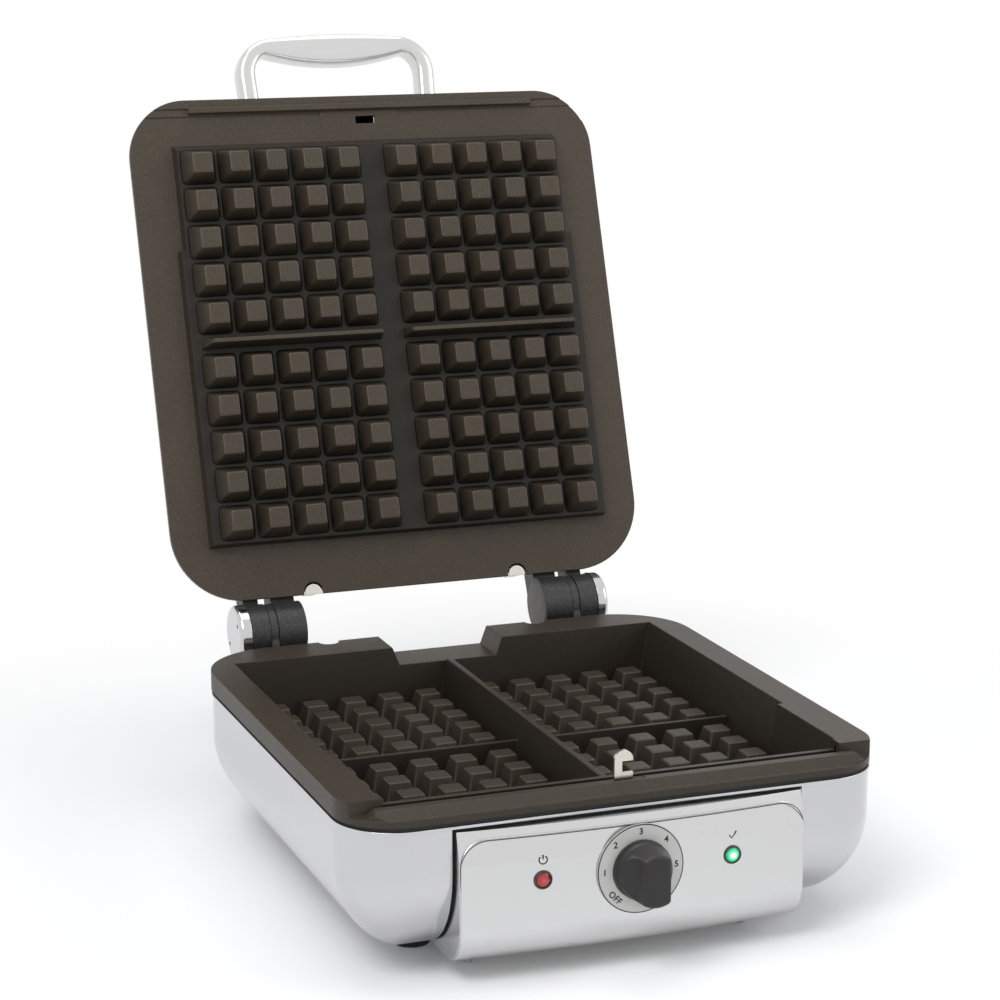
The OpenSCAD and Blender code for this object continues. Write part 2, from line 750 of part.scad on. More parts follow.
module control_panel() {
  top = fascia_top_z - 3.6;
  low = top - panel_corner;
  inner = panel_half - panel_corner;
  home() color([0.86, 0.87, 0.88]) difference() {
    intersection() {
      bowed() difference() {
        intersection() {
          fascia_section(panel_t);
          translate([bow_r - fascia_edge_r - 6, 0]) square([far, far]);
        }
        fascia_section(0);
      }
      along_y(-far, 0) {
        translate([-panel_half, 0]) square([2 * panel_half, low]);
        translate([-inner, 0]) square([2 * inner, top]);
        for (s = [-1, 1]) translate([s * inner, low]) circle(r = panel_corner);
      }
    }
    front_holes();
  }
}

module front_studs() {
  seat = fascia_bottom_z + fascia_wall;
  home() color([0.7, 0.7, 0.7]) for (s = [-1, 1]) translate([s * stud_x, -stud_y, 0]) {
    translate([0, 0, 0.6]) cylinder(r = stud_r, h = seat);
    translate([0, 0, seat]) cylinder(r = stud_r + 1.6, h = 2.4);
  }
}

// Moves a lamp's parts to where the bowed face is beside the dial.
module at_lamp(s) {
  face = bow_r - fascia_front - sqrt(bow_r * bow_r - lamp_x * lamp_x);
  translate([s * lamp_x, face, dial_z]) rotate([90, 0, 0]) children();
}

module lamp_bezels() {
  home() color([0.75, 0.76, 0.78]) for (s = [-1, 1]) at_lamp(s) difference() {
    translate([0, 0, -6]) cylinder(r = bezel_r, h = 7.6);
    translate([0, 0, -7]) cylinder(r = lens_r, h = 9);
  }
}

// Lamp lens with a domed end.
module lens() {
  deep = 1.2 * lens_r;
  translate([0, 0, -5]) cylinder(r = lens_r, h = 6);
  translate([0, 0, 1 - eps]) intersection() {
    translate([0, 0, -deep]) sphere(r = sqrt(lens_r * lens_r + deep * deep));
    cylinder(r = lens_r, h = 5);
  }
}

module power_lens() {
  home() color([0.75, 0.08, 0.08]) at_lamp(-1) lens();
}

module ready_lens() {
  home() color([0.15, 0.75, 0.4]) at_lamp(1) lens();
}

module lamp_holders() {
  home() color([0.9, 0.9, 0.85]) for (s = [-1, 1]) at_lamp(s) {
    translate([0, 0, -22]) cylinder(r = lens_r - 0.6, h = 17);
    translate([0, 0, -8]) cylinder(r = bezel_r + 1.7, h = 2);
  }
}

module dial_plate() {
  home() color([0.72, 0.73, 0.72]) translate([0, -fascia_front - panel_t, dial_z]) rotate([90, 0, 0])
    difference() {
      union() {
        cylinder(r = dial_r, h = dial_t - 0.3);
        cylinder(r = dial_r - 0.5, h = dial_t);
      }
      translate([0, 0, -1]) cylinder(r = bushing_r + hole_ease, h = 4);
    }
}

module knob() {
  scoop = 13;
  skirt = 5;
  home() color([0.16, 0.15, 0.16]) translate([0, -knob_back, dial_z]) rotate([90, 0, 0]) difference() {
    rotate_extrude() difference() {
      polygon([[0, 0], [knob_r, 0], [knob_r, skirt - 1], [knob_r - 0.6, skirt], [knob_r - 2, knob_len - 2],
        [knob_r - 4, knob_len], [0, knob_len]]);
      translate([-1, -1]) square([shaft_r + 1, 12]);
    }
    for (s = [-1, 1]) translate([s * (grip_w / 2 + scoop), 0, skirt + scoop]) rotate([90, 0, 0])
      linear_extrude(4 * knob_r, center = true) {
        circle(r = scoop);
        translate([-scoop, 0]) square([2 * scoop, far]);
      }
  }
}

module thermostat_shaft() {
  behind = 20;
  home() color([0.7, 0.7, 0.72]) translate([0, behind - knob_back, dial_z]) rotate([90, 0, 0]) difference() {
    cylinder(r = shaft_r, h = behind + 10.5);
    translate([shaft_r - 0.9, -5, behind + 1]) cube([5, 10, 20]);
  }
}

module thermostat() {
  front = fascia_wall + panel_t + dial_t - 0.1;
  home() color([0.85, 0.80, 0.70]) translate([0, fascia_wall - fascia_front, dial_z]) rotate([-90, 0, 0])
    difference() {
      union() {
        translate([-17, -15, 2]) cube([34, 30, 16]);
        translate([0, 0, 17]) cylinder(r = 12, h = 8);
        translate([0, 0, -front]) cylinder(r = bushing_r, h = front + 3);
      }
      translate([0, 0, -6]) cylinder(r = shaft_r + pin_fit, h = 22.6);
    }
}

// ---- rear of the base ----

module terminal_block() {
  home() color([0.88, 0.86, 0.80]) translate([0, under_rear - 16, pan_z + pan_t]) difference() {
    translate([-24, -9, 0]) cube([48, 18, 14]);
    for (i = [-1:1]) translate([i * 15, 0, 4]) {
      cylinder(r = 2.4, h = 20);
      rotate([90, 0, 0]) cylinder(r = 2, h = 30, center = true);
    }
  }
}

module cord_inlet() {
  home() color([0.07, 0.07, 0.08]) translate([-inlet_x, body_rear, inlet_z]) rotate([-90, 0, 0])
    difference() {
      union() {
        translate([0, 0, -7]) cylinder(r = inlet_r + 4, h = 8);
        cylinder(r = inlet_r + 6.5, h = 3);
        translate([0, 0, -sheet - 3]) cylinder(r = inlet_r + 6, h = 3);
      }
      translate([0, 0, -8]) cylinder(r = inlet_r, h = 20);
    }
}

module hinge_bracket(s) {
  x0 = s > 0 ? bracket_x : -bracket_x - bracket_t;
  ring = knuckle_r - 0.4;
  seat_t = 2.5;
  seat_y = body_rear - sheet - seat_t;
  seat_z = ground_gap + base_edge_r + 0.4;
  web_z = bracket_slot_z + 0.5;
  home() color([0.16, 0.16, 0.17]) difference() {
    union() {
      along_x(x0, x0 + bracket_t) {
        translate([hinge_y, hinge_z]) circle(r = ring);
        polygon([[hinge_y - ring + 0.2, hinge_z], [plate_rear + 1.2, skirt_z - 2],
          [seat_y, skirt_z - 4], [seat_y, web_z], [body_rear + 1, web_z],
          [hinge_y + 6, hinge_z - ring + 1.2], [hinge_y + 6, hinge_z]]);
      }
      translate([x0 - 3, seat_y, seat_z]) cube([bracket_t + 6, seat_t, body_top_z - sheet - 0.8 - seat_z]);
    }
    translate([x0 - 1, hinge_y, hinge_z]) rotate([0, 90, 0]) cylinder(r = pin_r + pin_fit, h = bracket_t + 2);
  }
}

module hinge_bracket_left() { hinge_bracket(-1); }
module hinge_bracket_right() { hinge_bracket(1); }

// ---- lid ----

// The lid's cover as a solid, g larger.
module lid_form(g) {
  mirror([0, 0, 1]) tub(cover_half, cover_front, cover_rear, lid_front_r - 2, lid_rear_r - 2, cover_edge_r,
    -cover_top_z, -flange_top_z, g);
}

module lid_cover() {
  open_half = tab_half + 0.5;
  on_lid() color([0.80, 0.81, 0.83]) difference() {
    lid_form(0);
    difference() {
      lid_form(-sheet);
      translate([-far, -far, flange_top_z - 1]) cube([2 * far, 2 * far, 0.5]);
    }
    translate([0, 0, flange_top_z - 1]) linear_extrude(2)
      outline(cover_half - sheet, cover_front - sheet, cover_rear - sheet, lid_front_r - 3, lid_rear_r - 3);
    for (s = [-1, 1]) translate([s * handle_half, 0, bolt_z]) rotate([90, 0, 0])
      cylinder(r = screw_r + 0.2, h = far);
    // Opening for the catch's thumb piece.
    translate([tab_x - open_half - catch_travel, -cover_front - 1, flange_top_z - 1])
      cube([2 * open_half + catch_travel, sheet + 2, catch_t + 1.9]);
  }
}

module upper_plate() {
  on_lid() color([0.26, 0.24, 0.22]) {
    difference() {
      union() {
        translate([0, 0, flange_z]) linear_extrude(plate_wall) flange_outline();
        platform(0, platform_z);
        free_edge();
      }
      platform(-plate_wall, platform_z + plate_wall);
      for (s = [-1, 1]) translate([s * clip_x, lid_rear - clip_in, flange_z - 1])
        cylinder(r = clip_r + 1, h = plate_wall + 2);
      translate([slot_x - slot_l / 2, -hook_y - slot_w / 2, flange_z - 1])
        cube([slot_l, slot_w, plate_wall + 2]);
      // Bed of the catch.
      translate([catch_x - catch_travel - 0.7, -hook_y - catch_half - catch_room, catch_z - 0.2])
        cube([catch_len + catch_travel + 1.5, 2 * (catch_half + catch_room), 4]);
      // Shallow recesses behind the lip, open at the sides.
      translate([-far, -lid_front + 9.4, flange_z - 1]) cube([far - 26, 9.4, 1 + recess_d]);
      translate([20, -lid_front + 9.4, flange_z - 1]) cube([far, 9.4, 1 + recess_d]);
    }
    translate([0, 0, platform_z]) mirror([0, 0, 1]) {
      blocks(cav_half - 2, plat_front - 1);
      for (s = [-1, 1]) intersection() {
        along_x(-far, far) ridge(5.5, 2.2, block_h - 0.3);
        along_y(-10, 10) polygon([[s * 6.5, -1], [s * 9, block_h], [s * (cav_half - 6), block_h],
          [s * (cav_half - 1), -1]]);
      }
    }
  }
}

// Outline of the upper plate.
module flange_outline() {
  outline(lid_half, lid_front, lid_rear, lid_front_r, lid_rear_r);
}

// Raised band along the upper plate's free edge and the narrow lip behind it.
module free_edge() {
  translate([0, 0, flange_z - band_h]) linear_extrude(band_h + 1) intersection() {
    flange_outline();
    translate([-far, -lid_front - 1]) square([2 * far, 6]);
  }
  translate([0, 0, flange_z + 1]) mirror([0, 0, 1]) along_x(14 - plat_half, plat_half - 14)
    translate([6.5 - lid_front, 0]) ridge(5, 3, lip_h + 1);
}

// Dish of the upper plate that enters the lower cavity, g larger, down to z0.
module platform(g, z0) {
  h = flange_top_z + 1 - z0;
  lean = platform_lean * h / platform_h;
  side = 0.25 * lean;
  half = plat_half + g;
  front = plat_front + g;
  rear = plat_rear + g;
  translate([0, 0, z0]) intersection() {
    union() {
      along_y(-far, -jog_y) polygon([[cavity_jog - half, 0], [half - cavity_jog, 0],
        [half + side - cavity_jog, h], [cavity_jog - half - side, h]]);
      along_y(-jog_y, far) polygon([[-half, 0], [half, 0], [half + side, h], [-half - side, h]]);
    }
    along_x(-far, far) polygon([[-front, 0], [rear, 0], [rear + side, h], [-front - lean, h]]);
    linear_extrude(g < 0 ? far : plate_wall + platform_h - eps)
      outline(plat_half + 10, plat_front + 12, plat_rear + 10, 16, 16);
  }
}

module upper_clips() {
  on_lid() color([0.78, 0.76, 0.72]) for (s = [-1, 1]) translate([s * clip_x, lid_rear - clip_in, 0]) {
    translate([0, 0, flange_z + 0.6]) linear_extrude(clip_t) difference() {
      circle(r = clip_r);
      translate([-clip_r, clip_in]) square([2 * clip_r, clip_r]);
    }
    translate([-strap_half, clip_in - clip_t - 0.3, flange_z + 1.2])
      cube([2 * strap_half, clip_t, strap_len]);
  }
}

module upper_heater() {
  on_lid() color([0.35, 0.34, 0.33]) translate([0, 0, platform_z + plate_wall + heater_r])
    heating_loop(loop_x, loop_y - 8, lead_x, cover_rear - 34);
}

module upper_reflector() {
  t = reflector_t;
  half = cover_half - 15;
  front = cover_front - 28;
  rear = cover_rear - 28;
  on_lid() color([0.72, 0.73, 0.75]) difference() {
    union() {
      translate([0, 0, flange_top_z]) linear_extrude(t) outline(half + 7, front + 4, rear + 4, 24, 24);
      translate([0, 0, flange_top_z]) linear_extrude(9) outline(half, front, rear, 20, 20);
    }
    translate([0, 0, flange_top_z - 1]) linear_extrude(10 - t)
      outline(half - t, front - t, rear - t, 20 - t, 20 - t);
  }
}

module hinge_arm(s) {
  top = hinge_z + knuckle_r - 0.4;
  low = flange_top_z + 1.6;
  on_lid() color([0.15, 0.15, 0.16]) scale([s, 1, 1]) difference() {
    for (k = [[hinge_inner_x, knuckle_len], [outer_x, outer_len]]) {
      translate([k[0], hinge_y, hinge_z]) rotate([0, 90, 0]) cylinder(r = knuckle_r, h = k[1]);
      along_x(k[0] + 0.8, k[0] + k[1] - 1.6) polygon([[cover_rear - 20, low], [cover_rear - 20, top + 2],
        [cover_rear, top + 2], [hinge_y - 3, top], [hinge_y, top], [hinge_y, hinge_z],
        [cover_rear + 1, low]]);
    }
    translate([hinge_inner_x - 1, hinge_y, hinge_z]) rotate([0, 90, 0]) cylinder(r = pin_r, h = far);
    lid_form(0);
  }
}

module hinge_arm_left() { hinge_arm(-1); }
module hinge_arm_right() { hinge_arm(1); }

module hinge_cap(s) {
  r = knuckle_r + 0.6;
  e = 2.5;
  on_lid() color([0.85, 0.86, 0.88]) translate([s * cap_x, hinge_y, hinge_z]) rotate([0, s * 90, 0])
    difference() {
      rotate_extrude() {
        square([r - e, cap_len]);
        square([r, cap_len - e]);
        translate([r - e, cap_len - e]) circle(r = e);
      }
      translate([0, 0, -1]) cylinder(r = pin_r, h = 4);
    }
}

module hinge_cap_left() { hinge_cap(-1); }
module hinge_cap_right() { hinge_cap(1); }

module hinge_pin(s) {
  start = hinge_inner_x + 2;
  on_lid() color([0.7, 0.7, 0.72]) translate([s * start, hinge_y, hinge_z]) rotate([0, s * 90, 0])
    cylinder(r = pin_r, h = cap_x + 3 - start);
}

module hinge_pin_left() { hinge_pin(-1); }
module hinge_pin_right() { hinge_pin(1); }

module handle() {
  inner = handle_half - arm_w / 2;
  edge = handle_reach - arm_w / 2;
  bulge = belly_w - arm_w;
  belly_r = (inner * inner + bulge * bulge) / (2 * bulge);
  on_lid() color([0.86, 0.87, 0.89]) difference() {
    intersection() {
      translate([0, 0, handle_z - handle_t / 2]) linear_extrude(handle_t) {
        difference() {
          outline(handle_half + arm_w / 2, handle_reach + arm_w / 2, -100, 20, 0.1);
          outline(inner, edge, 0, 11, 0.1);
        }
        // Belly of the grip.
        intersection() {
          translate([0, -edge + bulge - belly_r]) circle(r = belly_r);
          translate([-inner, -edge - 1]) square([2 * inner, bulge + 2]);
        }
      }
      along_x(-far, far) translate([-handle_reach / 2 - 40, handle_z])
        rounded(handle_reach + arm_w - 80, handle_t, grip_round);
    }
    lid_form(0.05);
    for (s = [-1, 1]) translate([s * handle_half, bolt_in - cover_front, bolt_z]) rotate([90, 0, 0])
      cylinder(r = screw_r, h = bolt_len);
  }
}

module handle_screws() {
  on_lid() color([0.6, 0.6, 0.62]) for (s = [-1, 1])
    translate([s * handle_half, bolt_in - cover_front, bolt_z]) rotate([-90, 0, 0]) screw(screw_r, bolt_len);
}

module lid_catch() {
  shelf = flange_top_z + joint_gap;
  back = -hook_y - catch_half;
  front = -cover_front - 1.9;
  on_lid() color([0.80, 0.79, 0.76]) {
    translate([catch_x, back, catch_z]) cube([catch_len, 2 * catch_half, catch_t]);
    // Step up over the flange to the small thumb piece outside the cover.
    translate([tab_x - tab_half, back, catch_z]) cube([2 * tab_half, 4, shelf + catch_t - catch_z]);
    translate([tab_x - tab_half, front, shelf]) cube([2 * tab_half, back + 4 - front, catch_t]);
    translate([tab_x - tab_half, front, shelf]) cube([2 * tab_half, tab_t, 4.5]);
  }
}

base_housing();
base_pan();
rubber_feet();
base_screws();
front_fascia();
control_panel();
front_studs();
dial_plate();
knob();
thermostat();
thermostat_shaft();
lamp_bezels();
power_lens();
ready_lens();
lamp_holders();
rim_gasket();
lower_plate();
lower_heater();
lower_reflector();
lower_clips();
latch_hook();
hinge_bracket_left();
hinge_bracket_right();
terminal_block();
cord_inlet();
lid_cover();
upper_plate();
upper_heater();
upper_reflector();
upper_clips();
hinge_arm_left();
hinge_arm_right();
hinge_cap_left();
hinge_cap_right();
hinge_pin_left();
hinge_pin_right();
handle();
handle_screws();
lid_catch();
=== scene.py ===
import json
from math import copysign, cos, pi, radians, sin, sqrt

import bmesh
import bpy
from mathutils import Matrix, Vector


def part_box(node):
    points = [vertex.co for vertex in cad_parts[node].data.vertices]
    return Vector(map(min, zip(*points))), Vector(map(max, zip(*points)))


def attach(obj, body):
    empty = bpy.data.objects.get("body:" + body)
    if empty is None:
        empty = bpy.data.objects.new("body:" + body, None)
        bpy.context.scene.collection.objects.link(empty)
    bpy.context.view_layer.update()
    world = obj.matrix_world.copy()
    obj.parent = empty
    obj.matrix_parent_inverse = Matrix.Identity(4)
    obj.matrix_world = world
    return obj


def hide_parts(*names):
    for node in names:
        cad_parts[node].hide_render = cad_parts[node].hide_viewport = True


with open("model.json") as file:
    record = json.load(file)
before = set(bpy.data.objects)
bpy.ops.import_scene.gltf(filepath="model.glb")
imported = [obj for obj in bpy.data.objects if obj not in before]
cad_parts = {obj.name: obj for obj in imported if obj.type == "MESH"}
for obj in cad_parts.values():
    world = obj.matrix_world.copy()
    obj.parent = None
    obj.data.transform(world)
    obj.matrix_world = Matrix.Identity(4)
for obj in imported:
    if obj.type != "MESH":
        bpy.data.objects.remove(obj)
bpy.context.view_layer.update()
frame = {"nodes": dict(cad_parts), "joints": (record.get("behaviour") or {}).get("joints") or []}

bl_info = {
    "name": "Waffle maker",
    "version": (1, 0, 0),
    "blender": (4, 5, 0),
    "location": "3D View > Sidebar > Waffle maker",
    "description": "Dresses the waffle maker's frame with its pieces, finishes and studio",
    "category": "Object",
}

# Corners closer than this are one corner, in metres
WELD = 2e-6
# Blocks on each plate and their height, and the height of each plate's floor with the lid closed
BLOCK_COUNT = 100
BLOCK_HEIGHT = 0.0123
LOWER_FLOOR = 0.0569
UPPER_FLOOR = 0.0858
# Level of the painted light attribute that gives the coating's own colour: painted shade in the grooves lies
# below it and a painted highlight on the blocks' top edges above it
GROUND = 0.75
# Half width and bow of the front unit, and the thickness of its panel
FASCIA_HALF = 0.0882
FASCIA_BOW = 0.0044
PANEL_SHEET = 0.0008
# Angle between faces above which an edge of a plate is sharp, in degrees
PLATE_SHARP = 12


# ---- sizes and colours that a user may change ----


class WaffleMakerSizes(bpy.types.PropertyGroup):
    """Sizes of the pieces that are made here."""

    cast_ease: bpy.props.FloatProperty(
        name="Casting edge",
        description="Rounding of the baking plates' edges",
        default=0.0008,
        unit="LENGTH",
    )
    block_foot: bpy.props.FloatProperty(
        name="Block foot", description="Width of a grid block at its foot", default=0.018, unit="LENGTH"
    )
    block_corner: bpy.props.FloatProperty(
        name="Block corner",
        description="Rounding of a grid block's sloping corners",
        default=0.0015,
        unit="LENGTH",
    )
    block_crown: bpy.props.FloatProperty(
        name="Block crown", description="Rounding of a grid block's top edges", default=0.0008, unit="LENGTH"
    )
    knob_ease: bpy.props.FloatProperty(
        name="Knob edge", description="Rounding of the knob's end", default=0.0016, unit="LENGTH"
    )
    knob_grip: bpy.props.FloatProperty(
        name="Knob grip", description="Thickness of the knob's grip", default=0.0140, unit="LENGTH"
    )
    digit_height: bpy.props.FloatProperty(
        name="Digit height", description="Height of the dial's numbers", default=0.0030, unit="LENGTH"
    )
    sign_height: bpy.props.FloatProperty(
        name="Sign height", description="Height of the signs over the lamps", default=0.0040, unit="LENGTH"
    )
    ink_height: bpy.props.FloatProperty(
        name="Ink thickness", description="Thickness of the printed marks", default=0.00004, unit="LENGTH"
    )
    # Painted shadow along the panel's edge, drawn as a thin dark line
    outline: bpy.props.FloatProperty(
        name="Panel outline",
        description="Thickness of the dark line around the panel",
        default=0.00022,
        unit="LENGTH",
    )
    glow: bpy.props.FloatProperty(name="Lamp glow", description="Brightness of the green lamp", default=1.2)


class WaffleMakerColours(bpy.types.PropertyGroup):
    """Colours of the finishes."""

    steel: bpy.props.FloatVectorProperty(
        name="Polished steel",
        description="Body, lid and hinge caps",
        subtype="COLOR",
        default=(0.60, 0.60, 0.618),
    )
    panel: bpy.props.FloatVectorProperty(
        name="Panel steel", description="Front unit", subtype="COLOR", default=(0.65, 0.65, 0.652)
    )
    coating: bpy.props.FloatVectorProperty(
        name="Coating", description="Non-stick coating", subtype="COLOR", default=(0.056, 0.044, 0.031)
    )
    dial: bpy.props.FloatVectorProperty(
        name="Dial", description="Dial plate", subtype="COLOR", default=(0.60, 0.60, 0.575)
    )
    knob: bpy.props.FloatVectorProperty(
        name="Knob", description="Knob", subtype="COLOR", default=(0.011, 0.009, 0.010)
    )


def sizes():
    """Sizes as the user has set them."""
    return bpy.context.scene.waffle_maker_sizes


def colours():
    """Colours as the user has set them."""
    return bpy.context.scene.waffle_maker_colours


# ---- shader maths ----


class Value:
    """A shader socket that can stand in a Python expression."""

    def __init__(self, finish, socket):
        self.finish = finish
        self.socket = socket

    def _math(self, operation, first, second):
        return self.finish.node("ShaderNodeMath", {"operation": operation}, {0: first, 1: second})

    def __add__(self, other):
        return self._math("ADD", self, other)

    def __radd__(self, other):
        return self._math("ADD", other, self)

    def __sub__(self, other):
        return self._math("SUBTRACT", self, other)

    def __rsub__(self, other):
        return self._math("SUBTRACT", other, self)

    def __mul__(self, other):
        return self._math("MULTIPLY", self, other)

    def __rmul__(self, other):
        return self._math("MULTIPLY", other, self)


class Finish:
    """One procedural material, or the world's background."""

    def __init__(self, tree):
        self.tree = tree
        self.tree.nodes.clear()

    def node(self, kind, settings=None, sockets=None, output=0):
        """Adds a node: its settings first, then the values or links of its sockets."""
        made = self.tree.nodes.new(kind)
        for key, value in (settings or {}).items():
            if key == "stops":
                self._stops(made.color_ramp, value)
            else:
                setattr(made, key, value)
        for key, value in (sockets or {}).items():
            if isinstance(value, Value):
                self.tree.links.new(value.socket, made.inputs[key])
            else:
                made.inputs[key].default_value = value
        return Value(self, made.outputs[output]) if len(made.outputs) else made

    def _stops(self, ramp, stops):
        """Sets a ramp's stops, each a place and a grey or a colour."""
        while len(ramp.elements) < len(stops):
            ramp.elements.new(0.5)
        for element, (place, shade) in zip(ramp.elements, stops):
            element.position = place
            element.color = (*shade, 1.0) if isinstance(shade, tuple) else (shade, shade, shade, 1.0)

    def place(self):
        """Position on the piece, in metres."""
        return self.node("ShaderNodeTexCoord", output="Object")

    def noise(self, scale, detail=2.0, stretch=None):
        """Cloudy pattern, drawn out along an axis whose stretch is under 1."""
        where = self.place()
        if stretch:
            where = self.node("ShaderNodeMapping", sockets={"Vector": where, "Scale": stretch})
        return self.node("ShaderNodeTexNoise", sockets={"Vector": where, "Scale": scale, "Detail": detail})

    def ramp(self, value, stops):
        """Value taken through the stops of a ramp."""
        return self.node("ShaderNodeValToRGB", {"stops": stops}, {"Fac": value})

    def mix(self, share, first, second):
        """Colours mixed by a share from 0 to 1."""
        return self.node("ShaderNodeMix", {"data_type": "RGBA"}, {0: share, 6: first, 7: second}, output=2)

    def bump(self, height, strength, distance, edge=0.0):
        """Relief on the surface, whose sharp edges are softened by edge, in metres."""
        sockets = {"Height": height, "Strength": strength, "Distance": distance}
        if edge:
            sockets["Normal"] = self.node("ShaderNodeBevel", {"samples": 6}, {"Radius": edge})
        return self.node("ShaderNodeBump", sockets=sockets)

    def surface(self, **sockets):
        """Ends the material with a surface that has these sockets."""
        named = {key.replace("_", " "): value for key, value in sockets.items()}
        shader = self.node("ShaderNodeBsdfPrincipled", sockets=named)
        self.node("ShaderNodeOutputMaterial", sockets={"Surface": shader})


def finish(name):
    """New material, and the finish that fills it."""
    material = bpy.data.materials.new(name)
    material.use_nodes = True
    return material, Finish(material.node_tree)


def opaque(colour):
    """Colour with full alpha."""
    return (*colour, 1.0)


def shaded(colour, share):
    """Colour made darker or lighter, with full alpha."""
    return (*(c * share for c in colour), 1.0)


# ---- finishes ----


def polished_steel(colour, name="polished_steel", roughness=0.13, edge=0.0005):
    """Bright steel with faint polishing marks and a soft cloudiness."""
    material, f = finish(name)
    cloud = f.noise(14.0, 3.0)
    marks = f.noise(900.0, 2.0, stretch=(0.06, 1.0, 1.0))
    f.surface(
        Base_Color=f.mix(cloud, shaded(colour, 0.96), opaque(colour)),
        Metallic=1.0,
        Roughness=roughness + 0.05 * cloud + 0.02 * marks,
        Normal=f.bump(marks, 0.04, 0.0001, edge),
    )
    return material


def non_stick(colour, name):
    """Dark coating with light flecks, with painted shade that makes it nearly black in the grooves and a
    painted highlight that makes it paler along the blocks' top edges.
    """
    material, f = finish(name)
    raised = f.node("ShaderNodeAttribute", {"attribute_name": "raised"}, output="Fac")
    unshaded_share = f.ramp(raised, [(0.0, 0.0), (GROUND, 1.0)])
    painted_edge_highlight = f.ramp(raised, [(GROUND, 0.0), (1.0, 1.0)])
    flecks = f.ramp(f.noise(1700.0, 1.0), [(0.55, 0.0), (0.72, 1.0)])
    patches = f.noise(30.0, 3.0)
    ground = f.mix(patches, shaded(colour, 0.88), shaded(colour, 1.08))
    # Painted shade: the coating darkens to 0.30 of its colour where the attribute lies below GROUND
    painted_groove_shade = f.mix(unshaded_share, shaded(colour, 0.30), ground)
    flecked = f.mix(0.40 * flecks * unshaded_share, painted_groove_shade, shaded(colour, 3.2))
    f.surface(
        # Painted highlight: the coating turns pale where the attribute lies above GROUND, along the blocks'
        # top edges
        Base_Color=f.mix(0.55 * painted_edge_highlight, flecked, shaded(colour, 3.6)),
        Metallic=0.0,
        Roughness=0.40 + 0.08 * patches - 0.10 * flecks - 0.10 * painted_edge_highlight,
        Specular_IOR_Level=0.28,
        Normal=f.bump(f.noise(1500.0, 2.0), 0.16, 0.0001, sizes().cast_ease),
    )
    return material


def moulded(colour, name, roughness=0.45, grain=1400.0, relief=0.12, edge=0.0004):
    """Moulded plastic or rubber with a fine grain, and lighter specks on the grain's high points as painted
    highlights.
    """
    material, f = finish(name)
    texture = f.noise(grain, 2.0)
    wear = f.noise(45.0, 3.0)
    ground = f.mix(wear, shaded(colour, 0.8), opaque(colour))
    # Painted highlight: specks on the grain's high points, lighter the stronger the relief
    specks = f.ramp(texture, [(0.52, 0.0), (0.70, 1.0)])
    f.surface(
        Base_Color=f.mix(specks, ground, shaded(colour, 1.0 + 8.0 * relief)),
        Roughness=roughness + 0.08 * wear,
        Normal=f.bump(texture, relief, 0.0001, edge),
    )
    return material


def bare_metal(colour, name, roughness=0.3, edge=0.0003):
    """Rolled or plated metal with drawn marks."""
    material, f = finish(name)
    marks = f.noise(700.0, 3.0, stretch=(1.0, 0.12, 1.0))
    stain = f.noise(60.0, 3.0)
    f.surface(
        Base_Color=f.mix(stain, shaded(colour, 0.85), opaque(colour)),
        Metallic=1.0,
        Roughness=roughness + 0.1 * marks,
        Normal=f.bump(marks, 0.08, 0.0001, edge),
    )
    return material


def ceramic(colour):
    """Glazed ceramic with faint specks."""
    material, f = finish("ceramic")
    specks = f.ramp(f.noise(500.0, 2.0), [(0.60, 0.0), (0.70, 1.0)])
    f.surface(Base_Color=f.mix(0.3 * specks, opaque(colour), shaded(colour, 0.6)), Roughness=0.25)
    return material


def lens(node, name, stops, glow, strength):
    """Lamp lens with rings of colour around its middle and small facets."""
    material, f = finish(name)
    low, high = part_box(node)
    middle = Vector(((low.x + high.x) / 2, low.y, (low.z + high.z) / 2))
    radius = 0.004
    where = f.place()
    away = f.node("ShaderNodeVectorMath", {"operation": "DISTANCE"}, {0: where, 1: middle}, output="Value")
    rings = f.ramp((1 / radius) * away, stops)
    facets = f.node("ShaderNodeTexVoronoi", sockets={"Vector": where, "Scale": 900.0})
    f.surface(
        Base_Color=f.mix(facets, rings, shaded(glow, 0.5)),
        Roughness=0.12,
        Coat_Weight=0.4,
        Emission_Color=f.mix(0.35 * facets, rings, (0.0, 0.0, 0.0, 1.0)),
        Emission_Strength=strength,
        Normal=f.bump(facets, 0.3, 0.0002),
    )
    return material


def dial_print(colour):
    """Printed satin dial with a fine turned texture."""
    material, f = finish("dial_print")
    grain = f.noise(1600.0, 2.0)
    f.surface(
        Base_Color=f.mix(grain, shaded(colour, 0.94), shaded(colour, 1.05)),
        Metallic=0.0,
        Roughness=0.38,
        Normal=f.bump(grain, 0.05, 0.0001),
    )
    return material


# ---- making pieces ----


def add_piece(name, data, body, material, replaces=(), place=Matrix()):
    """Puts a mesh or a curve in the scene as a piece that moves with a body."""
    data.materials.clear()
    data.materials.append(material)
    piece = bpy.data.objects.new(name, data)
    bpy.context.scene.collection.objects.link(piece)
    piece.matrix_world = place
    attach(piece, body)
    if replaces:
        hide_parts(*replaces)


def dress(node, material):
    """Gives a CAD node that stays in view its material."""
    shape = frame["nodes"][node]
    shape.data.materials.clear()
    shape.data.materials.append(material)


def mesh_from(name, build, smooth_angle=35.0):
    """Mesh whose edges are sharp above an angle, in degrees."""
    mesh = bpy.data.meshes.new(name)
    bmesh.ops.recalc_face_normals(build, faces=build.faces)
    build.to_mesh(mesh)
    build.free()
    mesh.shade_smooth()
    mesh.set_sharp_from_angle(angle=radians(smooth_angle))
    return mesh


def turns(count):
    """Angles evenly around a circle, in radians."""
    return [2 * pi * i / count for i in range(count)]


def ring_of(build, points):
    """Adds a ring of corners."""
    return [build.verts.new(p) for p in points]


